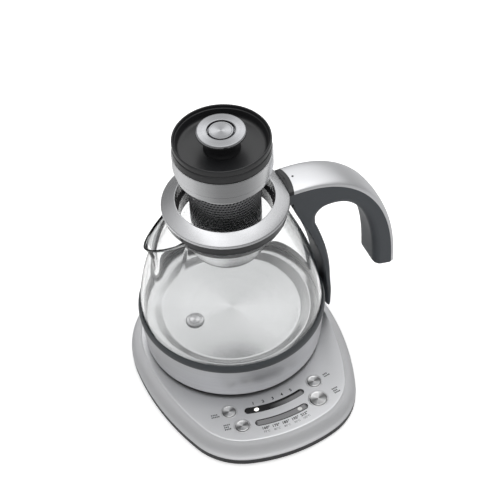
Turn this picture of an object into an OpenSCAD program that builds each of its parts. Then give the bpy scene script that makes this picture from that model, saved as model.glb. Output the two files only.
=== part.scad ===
// Automatic tea maker: a glass jug with a steel skirt stands on a powered base,
// and its lidded tea basket is drawn part way out of the jug's mouth.
// Millimetres, Z up. The origin is on the worktop under the jug's axis.
// The control panel faces -Y, the handle points to +X and the spout to -X.

/* [Base] */
// Radius of the base's round back, about the jug's axis
back_r = 85; // [83:0.5:90]
// Radius of the bowed front edge, about the jug's axis
front_r = 124.8; // [122:0.2:130]
// Radius of the two rounded front corners
corner_r = 52; // [46:1:56]
// Radius of the gently bowed sides
side_r = 218; // [190:2:260]
// How far behind the jug's axis the bowed sides begin, in degrees
side_start = 3; // [0:0.5:6]
// Height of the base's top face above the worktop
base_top = 20; // [19:0.5:26]
// Height of the steel cover's lower edge above the worktop
cover_foot = 6.5; // [5.5:0.25:7.5]
// How far the top face stands in from the cover's lower edge
apron_w = 7; // [5:0.5:9]
// Radius of the soft edge round the top face
edge_r = 2.6; // [1.5:0.1:3.5]
// Height of the upright lip at the cover's lower edge
lip_h = 1.2; // [0.8:0.1:2]
// Wall of the cover
cover_wall = 1.6; // [1.2:0.1:2]
// How far the dark tray stands in under the cover's lower edge
tray_inset = 0.6; // [0.4:0.1:3]
// Floor and wall of the tray
tray_wall = 2; // [1.6:0.1:2.6]
// Radius of a rubber foot
foot_r = 8; // [6:0.5:10]
// How far the rubber feet stand below the tray
foot_h = 1.2; // [0.8:0.1:2]
// Distance of the feet and screws in from the edge of the base
foot_inset = 16.5; // [15:0.5:18]

/* [Jug stand] */
// Radius of the round stand let into the cover
dish_r = 62; // [58:0.5:66]
// Inner radius of the raised seat ring
seat_in_r = 50; // [46:0.5:54]
// Outer radius of the raised seat ring
seat_out_r = 57; // [55:0.5:57.5]
// How far the seat ring rises over the cover's top face
seat_rise = 0.4; // [0.2:0.1:1]
// Depth of the stand's floor below the cover's top face
dish_depth = 2.5; // [2:0.1:3]
// Radius of the power connector's tower
tower_r = 15.2; // [13:0.2:17]
// Height of the tower over the stand's floor
tower_h = 14; // [12:0.5:16]

/* [Control panel] */
// How far the upper window's centre line stands in from the front edge
time_row_in = 37.8; // [37:0.1:39]
// Half sweep of the upper window, in degrees
time_sweep = 15; // [12:0.5:16]
// How far the lower window's centre line stands in from the front edge
heat_row_in = 24.5; // [23.5:0.1:25.5]
// Half sweep of the lower window, in degrees
heat_sweep = 11.2; // [9:0.2:12]
// Width of both windows
window_w = 6.2; // [4:0.2:7]
// Number of indicator lights in each window
light_count = 5; // [3:1:6]
// Radius of a small button
button_r = 5.2; // [4.4:0.1:5.6]
// Radius of the large start button
start_r = 6.7; // [5.5:0.1:7]
// How far the inner pair of buttons stands in from the front edge
inner_button_in = 37.8; // [37:0.1:39]
// Angle of the inner pair of buttons from the front, in degrees
inner_button_at = 25; // [24:0.5:26]
// How far the outer pair of buttons stands in from the front edge
outer_button_in = 23.3; // [22:0.1:24.5]
// Angle of the outer pair of buttons from the front, in degrees
outer_button_at = 18.8; // [18:0.2:20]
// Width of the bright ring round a button
bezel_w = 1.3; // [0.8:0.1:1.8]
// How far a button stands over the top face
button_proud = 0.9; // [0.5:0.1:1.4]
// Travel of a button
button_travel = 0.8; // [0.4:0.1:1]

/* [Jug] */
// Gap between the base's top face and the jug's skirt
skirt_gap = 2.5; // [2:0.1:4]
// Radius of the skirt at its upper edge
skirt_top_r = 75; // [74.5:0.1:77]
// How far the skirt draws in to its lower edge
skirt_flare = 3.1; // [2:0.1:4]
// Height of the skirt
skirt_h = 30.9; // [29:0.5:36]
// Wall of the skirt
skirt_wall = 1; // [0.8:0.1:1.2]
// Height of the dark seal band over the skirt
seal_h = 7.5; // [5:0.5:9]
// How far the seal band stands out from the skirt
seal_proud = 0.6; // [0.3:0.1:1]
// How far the glass's foot stands in from the skirt's upper edge
glass_foot_in = 1.5; // [1.2:0.1:2]
// Height of the glass
glass_h = 105.2; // [95:1:115]
// Radius of the glass neck
neck_r = 45.5; // [44.8:0.1:46.5]
// Wall of the glass
glass_wall = 2.4; // [2:0.1:2.6]
// Roundness of the glass's shoulder: more draws it in sooner
shoulder = 1.4; // [1.2:0.05:1.8]
// How far the heater plate's flat floor stands in from the foot's wall
plate_in = 14.9; // [12.5:0.1:20]
// Depth of the floor below the plate's flange
plate_sink = 5; // [4:0.5:6]
// Radius of the temperature sensor's cap
sensor_r = 7.5; // [6:0.5:8]
// How far the sensor's centre stands in from the heater's coil
sensor_in = 10.6; // [10:0.1:12]

/* [Spout] */
// How far the spout's tip reaches beyond the neck
spout_reach = 20; // [14:0.5:24]
// How far the tip lies below the neck's rim
spout_drop = 13; // [9:0.5:16]
// Half angle that the spout takes up on the neck
spout_half = 27; // [22:1:32]

/* [Collar] */
// Radius of the jug's mouth
mouth_r = 38.1; // [37:0.1:38.6]
// Outer radius of the steel collar
collar_r = 49.3; // [48.8:0.1:51]
// Height of the collar's outer edge over the neck's rim
collar_edge_h = 9; // [8:0.5:11]
// Height of the collar's inner edge over its outer edge
collar_rise = 5.3; // [3:0.1:7]
// Thickness of the steel collar
collar_wall = 1.3; // [1:0.1:1.6]
// Width of the ledge that the basket rests on
ledge_w = 1.9; // [1.5:0.1:2.4]

/* [Handle] */
// Width of the handle
handle_w = 30; // [26:0.5:34]
// Reach of the grip's outer face from the jug's axis
grip_x = 136.3; // [132:0.5:142]
// Height of the grip's top face over the collar's outer edge, under the cap
grip_rise = -2; // [-3:0.1:-1]
// Depth of the grip at its lower end, from its outer face to the finger gap
grip_depth = 16; // [13:0.5:20]
// Depth of the bridge, from its top face to the finger gap
bridge_depth = 26; // [23:0.5:29]
// Height of the grip's open lower end above the worktop
grip_end_z = 52.5; // [46:0.5:60]
// Height of the metal cap's crown
cap_crown = 4.5; // [3:0.1:6]
// Rounding of the grip's lower edges
grip_round = 6; // [4:0.5:7]
// Gap between the stem and the glass
stem_gap = 3.2; // [2.6:0.1:4]
// Thickness of the stem at its foot
stem_foot_t = 3.6; // [3.2:0.1:5]
// Thickness of the stem where it meets the bridge
stem_top_t = 10; // [8:0.5:12]
// Width of the dark strip between the collar and the cap
strip_w = 3.5; // [3:0.5:8]

/* [Basket and lid] */
// Height that the basket is drawn up over its seat
basket_lift = 47.7; // [20:0.1:60]
// Height of the lid's black rim, down to the steel band
lid_h = 12.1; // [11:0.1:14]
// Height of the steel band, down to its shoulder
band_h = 14.2; // [12:0.2:17]
// Height of the step under the shoulder
step_h = 6.5; // [5:0.5:8]
// Radius of the basket's cylinder
basket_r = 27.5; // [25:0.5:30]
// Length of the plain cylinder over the perforated wall
plain_h = 9; // [7:0.5:14]
// Length of the perforated wall
mesh_h = 36; // [30:1:42]
// Length of the plain cup at the bottom
cup_h = 34; // [28:1:38]
// Wall of the basket's steel
basket_wall = 0.9; // [0.7:0.1:1.2]
// Columns of slots round the perforated wall
slot_columns = 24; // [16:2:28]
// Rows of slots in the perforated wall
slot_rows = 5; // [3:1:6]
// Width of a slot
slot_w = 2.4; // [1.6:0.1:3]
// Radius of the steel ring on the lid's knob
knob_r = 18.7; // [17:0.1:20]
// Height of the knob's steel ring
knob_h = 3.6; // [2.6:0.1:4.5]
// How far the knob stands over the lid's rim
knob_rise = 7.6; // [5:0.1:10]
// Radius of the knob's black post
post_r = 14; // [12:0.5:15]
// Radius of the spun disc in the knob
disc_r = 9.4; // [8:0.1:11]
// Depth of the lid's dish below its rim
lid_dish_depth = 9.6; // [8:0.1:10.5]

/* [Clearances] */
// Clearance round the basket and its lid, where they slide
slide_gap = 0.4; // [0.3:0.05:0.6]
// Clearance between pieces that move past each other
run_gap = 0.3; // [0.2:0.05:0.4]
// Clearance between pieces that are fitted together
fit_gap = 0.1; // [0.05:0.05:0.2]

/* [Hidden] */
$fn = 72;
eps = 0.01;

// ---- Radii that follow from the front edge and from the skirt ----
time_row_r = front_r - time_row_in;
heat_row_r = front_r - heat_row_in;
inner_button_row = front_r - inner_button_in;
outer_button_row = front_r - outer_button_in;
skirt_low_r = skirt_top_r - skirt_flare;
foot_wall_r = skirt_low_r - skirt_wall - 0.5;
glass_foot_r = skirt_top_r - glass_foot_in;
plate_r = foot_wall_r - plate_in;
spreader_r = plate_r - 1.5;

// ---- Heights, from the worktop up ----
cover_under = base_top - cover_wall;
tray_floor = foot_h + tray_wall;
dish_floor = base_top - dish_depth;
dish_wall = 1.5;
seat_top = base_top + seat_rise;
tower_top = dish_floor + tower_h;
board_z = tray_floor + 4.8;
board_t = 1.6;
board_top = board_z + board_t;
jug_z = seat_top + run_gap;
skirt_z = base_top + skirt_gap;
skirt_top = skirt_z + skirt_h;
seal_top = skirt_top + seal_h;
flange_z = skirt_top - 1.1;
plate_t = 1.2;
plate_z = flange_z - plate_sink;
glass_z = flange_z + 2.4;
neck_z = glass_z + glass_h;
collar_z = neck_z + fit_gap;
collar_edge_z = neck_z + collar_edge_h;
collar_top = collar_edge_z + collar_rise;
rim_z = collar_z + band_h + lid_h + basket_lift;
band_z = rim_z - lid_h;
shoulder_z = band_z - band_h;
step_z = shoulder_z - step_h;
mesh_top = step_z - plain_h;
mesh_z = mesh_top - mesh_h;
cup_z = mesh_z - cup_h;

// ---- Outline of the base: four kinds of arc, each tangent to the next ----
side_from_axis = side_r - back_r;
corner_from_axis = front_r - corner_r;
corner_from_side = side_r - corner_r;
corner_along = (pow(corner_from_axis, 2) - pow(corner_from_side, 2) + pow(side_from_axis, 2))
    / (2 * side_from_axis);
corner_off = sqrt(pow(corner_from_axis, 2) - pow(corner_along, 2));
side_dir = -[cos(side_start), sin(side_start)];
side_c = side_dir * side_from_axis;
corner_c = side_dir * corner_along + [-side_dir[1], side_dir[0]] * corner_off;
side_end = atan2(corner_c[1] - side_c[1], corner_c[0] - side_c[0]);
front_start = atan2(corner_c[1], corner_c[0]);

// Points of one arc, without its last point
function arc(c, r, a0, a1, n) =
    [for (i = [0:n - 1]) let (a = a0 + (a1 - a0) * i / n) c + r * [cos(a), sin(a)]];
// Right half of the outline, from the front round to the back
function half_outline(inset) = concat(
    arc([0, 0], front_r - inset, -90, front_start, 4),
    arc(corner_c, corner_r - inset, front_start, side_end, 8),
    arc(side_c, side_r - inset, side_end, side_start, 5),
    arc([0, 0], back_r - inset, side_start, 90, 14));
// Whole outline, drawn in from the cover's lower edge by inset
function base_outline(inset) = let (half = half_outline(inset), n = len(half))
    concat(half, [[0, back_r - inset]], [for (i = [n - 1:-1:1]) [-half[i][0], half[i][1]]]);

// ---- Shared forms ----
// Faces between ring k and ring k + 1 of n points each
function band_faces(k, next, n) = [for (i = [0:n - 1]) let (j = (i + 1) % n)
    each [[k * n + i, next * n + i, next * n + j], [k * n + i, next * n + j, k * n + j]]];

// Solid lofted through rings, closed by its first and last ring
module loft(rings) {
    n = len(rings[0]);
    m = len(rings);
    sides = [for (k = [0:m - 2]) each band_faces(k, k + 1, n)];
    first = [for (i = [0:n - 1]) i];
    last = [for (i = [n - 1:-1:0]) (m - 1) * n + i];
    polyhedron([for (ring = rings) each ring], concat(sides, [first, last]), convexity = 10);
}

// Shell lofted through rings whose last one joins the first
module loft_loop(rings) {
    n = len(rings[0]);
    m = len(rings);
    polyhedron([for (ring = rings) each ring],
        [for (k = [0:m - 1]) each band_faces(k, (k + 1) % m, n)], convexity = 10);
}

// Solid with the base's outline, through pairs of [inset, height] from the bottom up
module base_loft(steps) {
    loft([for (s = steps) [for (p = base_outline(s[0])) [p[0], p[1], s[1]]]]);
}

// A place on the base: radius about the jug's axis and angle from the front
function panel(r, at) = [r * sin(at), -r * cos(at)];

// Upright round post from z0 to z1
module post(at, r, z0, z1) {
    translate([at[0], at[1], z0]) cylinder(r = r, h = z1 - z0);
}

// Band along an arc of the panel, with round ends
module panel_slot(r, sweep, w, z0, z1) {
    h = w / 2;
    turn = [for (s = [1, -1]) r * [cos(s * sweep), sin(s * sweep)]];
    translate([0, 0, z0]) rotate([0, 0, -90]) linear_extrude(z1 - z0) polygon(concat(
        arc([0, 0], r + h, -sweep, sweep, 16), arc(turn[0], h, sweep, sweep + 180, 8),
        arc([0, 0], r - h, sweep, -sweep, 16), arc(turn[1], h, 180 - sweep, 360 - sweep, 8)));
}

// Revolved profile, its points as [radius, height]
module turned(points) {
    rotate_extrude() polygon(points);
}

// Plain upright tube round the jug's axis
module tube(r_out, r_in, z0, z1) {
    turned([[r_in, z0], [r_out, z0], [r_out, z1], [r_in, z1]]);
}

// ---- Base cover ----
cove_top = base_top - edge_r;
cove_low = cover_foot + lip_h;
cove_drop = cove_top - cove_low;
cover_steps = concat(
    [[0, cover_foot], [0, cove_low]],
    [for (a = [72:-18:0]) [apron_w * cos(a), cove_top - cove_drop * sin(a)]],
    [for (a = [30:30:90]) [apron_w + edge_r * (1 - cos(a)), cove_top + edge_r * sin(a)]]);
cavity_steps = concat(
    [[cover_wall, cover_foot - 1]],
    [for (a = [72:-24:0]) [apron_w * cos(a) + cover_wall, cove_top - cove_drop * sin(a) - cover_wall]],
    [[apron_w + 1.5 * cover_wall, cover_under]]);
cavity_edge = apron_w + cover_wall;

// One foot under the jug's axis, and four towards the edge with a screw over each
foot_at = back_r - foot_inset;
back_foot_at = 135;
front_foot_at = 26;
foot_places = [for (s = [1, -1]) each [panel(foot_at, s * back_foot_at),
    panel(front_r - foot_inset, s * front_foot_at)]];
all_feet = concat([[0, 0]], foot_places);
boss_r = 4;
boss_z = tray_floor + 6;
screw_r = 1.4;
screw_head_r = 2.8;
foot_recess = 0.8;
head_z = foot_h + foot_recess + fit_gap;
head_h = 1.9;

// Buttons: [row radius, angle from the front, button radius]
left_inner = [inner_button_row, -inner_button_at, button_r];
left_outer = [outer_button_row, -outer_button_at, button_r];
right_inner = [inner_button_row, inner_button_at, button_r];
right_outer = [outer_button_row, outer_button_at, start_r];
buttons = [left_inner, left_outer, right_inner, right_outer];

// Cord gland at the back; the cord itself isn't part of the model
gland_r = 4.2;
gland_bore_r = 3.3;
gland_z = tray_floor + 6;
gland_in_y = back_r - cavity_edge - 8;
gland_out_y = back_r + 2;

module gland_hole(r) {
    translate([0, gland_in_y + 3, gland_z]) rotate([-90, 0, 0]) cylinder(r = r, h = back_r);
}

module base_cover() {
    color("silver") difference() {
        union() {
            difference() {
                base_loft(cover_steps);
                base_loft(cavity_steps);
            }
            for (p = foot_places)
                post(p, boss_r, boss_z, cover_under + eps);
        }
        post([0, 0], dish_r, cover_under - 1, base_top + 1);
        panel_slot(time_row_r, time_sweep, window_w, cover_under - 1, base_top + 1);
        panel_slot(heat_row_r, heat_sweep, window_w, cover_under - 1, base_top + 1);
        for (b = buttons)
            post(panel(b[0], b[1]), b[2] + bezel_w + fit_gap, cover_under - 1, base_top + 1);
        for (p = foot_places)
            post(p, screw_r + fit_gap, cover_foot - 1, cover_under - 1);
        gland_hole(gland_r + fit_gap);
    }
}

// ---- Base tray ----
tray_edge = cavity_edge + run_gap;
stand_posts = [[dish_r - 7, 0], [7 - dish_r, 0], [0, 7 - dish_r]];
board_posts = [for (s = [1, -1]) each [panel(time_row_r - 7, s * 28.5),
    panel(heat_row_r + 4.7, s * 15)]];
power_x = 26;
power_y0 = 26;
power_y1 = foot_at - 9;
power_posts = [for (x = [-1, 1], y = [power_y0 + 4, power_y1 - 4]) [x * (power_x - 4), y]];
dish_under = dish_floor - dish_wall;
tower_flange_r = tower_r + 4;
tower_z = dish_under - fit_gap - 2.5;

module base_tray() {
    color("#26282b") difference() {
        union() {
            difference() {
                union() {
                    base_loft([[tray_inset + 2.4, foot_h], [tray_inset + 0.4, foot_h + 1.8],
                        [tray_inset, cover_foot - fit_gap]]);
                    translate([0, 0, tray_floor]) linear_extrude(cover_foot + 2 - tray_floor)
                        polygon(base_outline(tray_edge));
                }
                translate([0, 0, tray_floor]) linear_extrude(base_top)
                    polygon(base_outline(tray_edge + tray_wall));
            }
            for (p = foot_places)
                post(p, boss_r, foot_h + foot_recess, boss_z - fit_gap);
            for (p = stand_posts)
                post(p, boss_r, tray_floor - eps, dish_under - fit_gap);
            for (p = concat(board_posts, power_posts))
                post(p, 2.6, tray_floor - eps, board_z);
            tube(tower_flange_r, tower_flange_r - 2, tray_floor - eps, tower_z - fit_gap);
        }
        for (p = all_feet)
            post(p, foot_r + fit_gap, foot_h - 1, foot_h + foot_recess);
        for (p = foot_places) {
            post(p, screw_head_r + fit_gap, foot_h, head_z + head_h);
            post(p, screw_r + fit_gap, foot_h, base_top);
        }
        for (p = concat(board_posts, power_posts))
            post(p, 1.1, board_z - 3, board_z + 1);
        gland_hole(gland_r + fit_gap);
        translate([-5, tower_flange_r - 4, board_z]) cube([10, 6, base_top]);
    }
}

module rubber_feet() {
    top = foot_h + foot_recess - fit_gap / 2;
    color("#1b1b1c") for (p = all_feet)
        translate([p[0], p[1], 0])
            turned([[0, 0], [foot_r - 0.6, 0], [foot_r, 0.6], [foot_r, top], [0, top]]);
}

module base_screws() {
    color("gray") for (p = foot_places) {
        post(p, screw_head_r, head_z, head_z + head_h - fit_gap);
        post(p, screw_r, head_z, cover_under - 2);
    }
}

// ---- Jug stand and power connector ----
slot_in_r = 8.2;
slot_out_r = 10.6;
socket_r = 4.2;
contact_z = dish_floor - 1;
contact_top = tower_top - 2;
drain_at = 160;

module seat_dish() {
    color("#1d1f21") difference() {
        turned([[tower_r + fit_gap, dish_under], [seat_in_r, dish_under],
            [dish_r + 2, cover_under - fit_gap - 1.5], [dish_r + 2, cover_under - fit_gap],
            [dish_r - fit_gap, cover_under - fit_gap], [dish_r - fit_gap, base_top],
            [seat_out_r, base_top], [seat_out_r - seat_rise, seat_top], [seat_in_r + seat_rise, seat_top],
            [seat_in_r, seat_top - seat_rise], [seat_in_r, dish_floor], [tower_r + fit_gap, dish_floor]]);
        // Drain for spilt water
        post(panel(seat_in_r - 6, drain_at), 1.5, dish_under - 1, dish_floor + 1);
    }
}

module base_connector() {
    color("#141516") difference() {
        turned([[0, tower_z], [tower_flange_r, tower_z], [tower_flange_r, dish_under - fit_gap],
            [tower_r, dish_under - fit_gap], [tower_r, tower_top - 1.2], [tower_r - 1.2, tower_top],
            [0, tower_top]]);
        post([0, 0], socket_r, dish_under, tower_top + 1);
        tube(slot_out_r, slot_in_r, dish_under, tower_top + 1);
    }
}

module base_contacts() {
    color("#c9a24b") {
        tube(socket_r - fit_gap, socket_r - 0.9, contact_z, contact_top);
        tube(slot_out_r - fit_gap, slot_out_r - 0.7, contact_z, contact_top);
    }
}

// ---- Boards in the base ----
can_w = 6;
can_top = board_top + 4.3;
lens_z = cover_under - fit_gap - 1;
lens_lip = 0.8;
light_h = 1.2;

function light_at(sweep, i) = light_count > 1 ? sweep * 0.9 * (2 * i / (light_count - 1) - 1) : 0;

module control_board() {
    color("#23603a") difference() {
        translate([0, 0, board_z]) linear_extrude(board_t) polygon(concat(
            [for (a = [33:-11:-33]) panel(time_row_r - 11, a)],
            [for (a = [-20:10:20]) panel(heat_row_r + 8.7, a)]));
        for (p = board_posts)
            post(p, 1.3, board_z - 1, board_top + 1);
    }
}

module tact_switches() {
    color("#303236") for (b = buttons)
        translate(concat(panel(b[0], b[1]), board_top)) difference() {
            translate([-can_w / 2, -can_w / 2, 0]) cube([can_w, can_w, can_top - board_top]);
            translate([0, 0, 1.8]) cylinder(r = 1.9, h = can_top);
        }
}

module indicator_leds() {
    color("#f2ede0") for (row = [[time_row_r, time_sweep], [heat_row_r, heat_sweep]])
        for (i = [0:light_count - 1])
            rotate([0, 0, light_at(row[1], i)]) translate([-1, -row[0] - 0.8, board_top])
                cube([2, 1.6, light_h]);
}

// Black bars that keep the light of one lamp from its neighbours
module light_shield() {
    color("#141516") for (row = [[time_row_r, time_sweep], [heat_row_r, heat_sweep]])
        difference() {
            panel_slot(row[0], row[1], window_w, board_top, lens_z - fit_gap);
            for (i = [0:light_count - 1])
                post(panel(row[0], -light_at(row[1], i)), 1.8, board_top - 1, lens_z + 1);
        }
}

module buzzer() {
    color("#18191b") translate([0, -(time_row_r + heat_row_r) / 2 + 18, board_top]) difference() {
        cylinder(r = 4.5, h = 4.5);
        translate([0, 0, 3]) cylinder(r = 0.8, h = 3);
    }
}

module power_board() {
    color("#23603a") {
        difference() {
            translate([-power_x, power_y0, board_z]) cube([2 * power_x, power_y1 - power_y0, board_t]);
            for (p = power_posts)
                post(p, 1.3, board_z - 1, board_top + 1);
        }
        for (y = [power_y0 + 0.5, power_y1 - 5.5])
            translate([-6, y, board_top]) cube([12, 5, 4.6]);
    }
}

module power_relay() {
    parts_y = power_y0 + 9;
    relay = [15, 12, 5.4];
    capacitor = [14, 12, 4.6];
    color("#2a4fa0") translate([-5 - relay[0], parts_y, board_top]) cube(relay);
    color("#b9b04a") translate([6, parts_y, board_top]) cube(capacitor);
}

module board_screws() {
    color("gray") for (p = concat(board_posts, power_posts)) {
        post(p, 2.2, board_top + eps, board_top + 1.4);
        post(p, 1, board_z - 2.8, board_top + 1);
    }
}

// Two pairs of leads: from the gland's inner end to the power board, and on to the connector
module supply_leads() {
    lead_r = 1.1;
    lead_z = board_top + 1.6;
    tower_y = tower_flange_r - 6;
    color("#7a4a2a") for (x = [-2.6, 2.6]) {
        translate([x / 2, power_y1 - 0.4, lead_z]) rotate([-90, 0, 0])
            cylinder(r = lead_r, h = gland_in_y - 2.6 - power_y1);
        translate([x, tower_y, lead_z]) rotate([-90, 0, 0])
            cylinder(r = lead_r, h = power_y0 + 0.4 - tower_y);
        post([x, tower_y], lead_r, lead_z - lead_r, tower_z - fit_gap / 2);
    }
}

module cord_gland() {
    color("#17181a") difference() {
        union() {
            translate([0, gland_in_y, gland_z]) rotate([-90, 0, 0])
                cylinder(r = gland_r + 1.8, h = 2.4);
            translate([0, gland_in_y, gland_z]) rotate([-90, 0, 0])
                cylinder(r = gland_r, h = gland_out_y - gland_in_y);
        }
        translate([0, gland_in_y - 1, gland_z]) rotate([-90, 0, 0])
            cylinder(r = gland_bore_r, h = gland_out_y - gland_in_y + 2);
    }
}

// ---- Windows and buttons ----
module window_lens(r, sweep) {
    panel_slot(r, sweep, window_w - 2 * fit_gap, lens_z, base_top - fit_gap);
    panel_slot(r, sweep, window_w + 2 * lens_lip, lens_z, cover_under - fit_gap);
}
module time_window() {
    color("#0c0d0f") window_lens(time_row_r, time_sweep);
}
module heat_window() {
    color("#0c0d0f") window_lens(heat_row_r, heat_sweep);
}

module button_bezels() {
    color("gainsboro") for (b = buttons) let (r_in = b[2] + run_gap, r_out = b[2] + bezel_w)
        translate(concat(panel(b[0], b[1]), 0)) turned([[r_in, lens_z], [r_out + lens_lip, lens_z],
            [r_out + lens_lip, cover_under - fit_gap], [r_out, cover_under - fit_gap],
            [r_out, base_top], [r_out - 0.3, base_top + 0.3], [r_in, base_top + 0.3]]);
}

module panel_button(b) {
    stop_top = lens_z - run_gap;
    translate(concat(panel(b[0], b[1]), 0)) turned([[0, can_top - 1], [1.5, can_top - 1],
        [1.5, can_top + button_travel + 0.2], [2.6, can_top + button_travel + 0.2], [2.6, stop_top - 1.2],
        [b[2] + run_gap + 0.7, stop_top - 1.2], [b[2] + run_gap + 0.7, stop_top], [b[2], stop_top],
        [b[2], base_top + button_proud - 0.4], [b[2] - 0.4, base_top + button_proud],
        [0, base_top + button_proud]]);
}
module button_left_inner() {
    color("lightgray") panel_button(left_inner);
}
module button_left_outer() {
    color("lightgray") panel_button(left_outer);
}
module button_right_inner() {
    color("lightgray") panel_button(right_inner);
}
module start_button() {
    color("lightgray") panel_button(right_outer);
}

// ---- Jug connector: lifts off the tower, and the jug turns about it ----
coupler_r = 26;
coupler_lip = 3;
coupler_top = tower_top + 3.5;
boss_top = coupler_top - 2 - run_gap;

module jug_connector() {
    color("#1a1b1d") turned([[tower_r + run_gap, jug_z], [coupler_r, jug_z],
        [coupler_r, boss_top + run_gap], [coupler_r + coupler_lip, boss_top + run_gap],
        [coupler_r + coupler_lip, coupler_top], [0, coupler_top], [0, tower_top + 1],
        [tower_r - 1, tower_top + 1], [tower_r + run_gap, tower_top - 1]]);
}

module jug_contacts() {
    color("#c9a24b") {
        post([0, 0], socket_r - 1.4, dish_floor + 3, tower_top + 1);
        tube(slot_out_r - 1.2, slot_out_r - 2, dish_floor + 3, tower_top + 1);
    }
}

// ---- Jug's lower housing ----
seal_r = skirt_top_r + seal_proud;
spreader_t = 3;
spreader_z = plate_z - plate_t - fit_gap - spreader_t;
foot_post_r = 3.6;
foot_post_clear = 1.4;
foot_post_at = coupler_r + coupler_lip + foot_post_clear + foot_post_r;
foot_posts = [for (a = [0, 120, 240]) foot_post_at * [cos(a), sin(a)]];
pad_z = skirt_z + skirt_h / 2;
pad_screw_r = 1.6;
pad_half = 9;

module jug_foot() {
    color("#1b1c1f") difference() {
        union() {
            turned([[coupler_r + run_gap, jug_z], [foot_wall_r - 0.9, jug_z],
                [foot_wall_r - 0.9, skirt_z + 0.2], [foot_wall_r, skirt_z + 0.2],
                [foot_wall_r, flange_z - plate_t - fit_gap], [foot_wall_r - 2, flange_z - plate_t - fit_gap],
                [foot_wall_r - 2, jug_z + 2.5], [coupler_r + 3, jug_z + 2.5], [coupler_r + 3, boss_top],
                [coupler_r + run_gap, boss_top]]);
            for (p = foot_posts)
                post(p, foot_post_r, jug_z + 1, spreader_z - fit_gap);
        }
        for (p = foot_posts) {
            post(p, 2.6, jug_z - 1, jug_z + 2.2);
            post(p, screw_r + fit_gap, jug_z, spreader_z + 1);
        }
        translate([foot_wall_r - 4, 0, pad_z]) rotate([0, 90, 0]) cylinder(r = 3.4, h = 8);
    }
}

module foot_screws() {
    color("gray") for (p = foot_posts) {
        post(p, 2.5, jug_z + 0.4, jug_z + 2.1);
        post(p, screw_r, jug_z + 0.4, spreader_z + spreader_t - 0.6);
    }
}

// Pressed steel skirt: a slightly flaring shell with a hemmed lower edge
module jug_skirt() {
    color("silver") difference() {
        turned([[skirt_low_r - skirt_wall - 0.3, skirt_z], [skirt_low_r - 0.4, skirt_z],
            [skirt_low_r, skirt_z + 0.5], [skirt_top_r, skirt_top - 0.4], [skirt_top_r - 0.3, skirt_top],
            [skirt_top_r - skirt_wall, skirt_top], [skirt_low_r - skirt_wall, skirt_z + 1.6]]);
        translate([foot_wall_r, 0, pad_z]) rotate([0, 90, 0])
            cylinder(r = pad_screw_r + fit_gap, h = 8);
    }
}

module jug_seal() {
    in_r = glass_foot_r - glass_wall - 1.4;
    color("#34383c") turned([[in_r, flange_z + fit_gap], [foot_wall_r + 1, flange_z + fit_gap],
        [foot_wall_r + 1.2, skirt_top + fit_gap], [seal_r - 0.4, skirt_top + fit_gap],
        [seal_r, skirt_top + 0.5], [seal_r, seal_top - 0.5], [seal_r - 0.5, seal_top],
        [glass_foot_r + fit_gap, seal_top], [glass_foot_r + fit_gap, glass_z - fit_gap],
        [in_r, glass_z - fit_gap]]);
}

// ---- Glass ----
neck_straight = 3;
spout_from = 0.58;
glass_n = 72;
glass_rows = 14;

// Outer radius of the body at a height, without the spout
function glass_at(z) = let (u = min(1, max(0, (z - glass_z) / (glass_h - neck_straight))))
    neck_r + (glass_foot_r - neck_r) * pow(1 - u * u, shoulder);
// How much of the spout a direction has: 1 at the tip, 0 outside it
function spout_share(a) = max(0, 1 - abs(a - 180) / spout_half);
// One point of the glass: direction, share of the height and wall offset
function glass_point(a, t, wall) =
    let (s = spout_share(a), z = glass_z + (glass_h - spout_drop * s) * t,
        v = max(0, (t - spout_from) / (1 - spout_from)),
        r = glass_at(z) + spout_reach * pow(s, 1.15) * pow(v, 1.7) - wall)
    [r * cos(a), r * sin(a), z];
function glass_ring(t, wall) = [for (i = [0:glass_n - 1]) glass_point(360 * i / glass_n, t, wall)];

module jug_glass() {
    color("lightblue", 0.4) loft_loop(concat(
        [for (k = [0:glass_rows]) glass_ring(k / glass_rows, 0)],
        [for (k = [glass_rows:-1:0]) glass_ring(k / glass_rows, glass_wall)]));
}

// ---- Heater ----
// The coil runs between the foot's posts and the spreader's edge, nearer the posts
coil_tube_r = 3.2;
coil_free = spreader_r - foot_post_at - foot_post_r - 2 * coil_tube_r;
coil_r = foot_post_at + foot_post_r + coil_tube_r + 0.28 * coil_free;
sensor_at = coil_r - sensor_in;
sensor_place = [-sensor_at, -1.5];

module heater_plate() {
    cove = plate_r + plate_sink + 2.5;
    edge = foot_wall_r - 0.4;
    low = plate_z - plate_t;
    color("gainsboro") difference() {
        turned([[0, low], [plate_r, low], [plate_r + 2.3, low + 0.8], [cove + 0.6, flange_z - plate_t],
            [edge, flange_z - plate_t], [edge, flange_z], [cove + 0.7, flange_z],
            [cove - 0.6, flange_z - 0.6], [plate_r + 1.6, plate_z + 0.8], [plate_r - 0.4, plate_z],
            [0, plate_z]]);
        post(sensor_place, 3.2, low - 1, plate_z + 1);
    }
}

module heat_spreader() {
    color("lightgray") difference() {
        post([0, 0], spreader_r, spreader_z, spreader_z + spreader_t);
        post(sensor_place, 3.2, spreader_z - 1, plate_z);
        for (p = foot_posts)
            post(p, screw_r + fit_gap / 2, spreader_z - 1, spreader_z + spreader_t - 0.5);
    }
}

// Heating tube bent round under the floor, with its two cold ends turned down
module heating_element() {
    tube_z = spreader_z - coil_tube_r - fit_gap;
    cold_end_r = coil_tube_r - 0.6;
    color("dimgray") {
        rotate([0, 0, 20]) rotate_extrude(angle = 320)
            translate([coil_r, tube_z]) circle(r = coil_tube_r);
        for (a = [24, -24])
            post(coil_r * [cos(a), sin(a)], cold_end_r, tube_z - 8, tube_z);
    }
}

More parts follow.
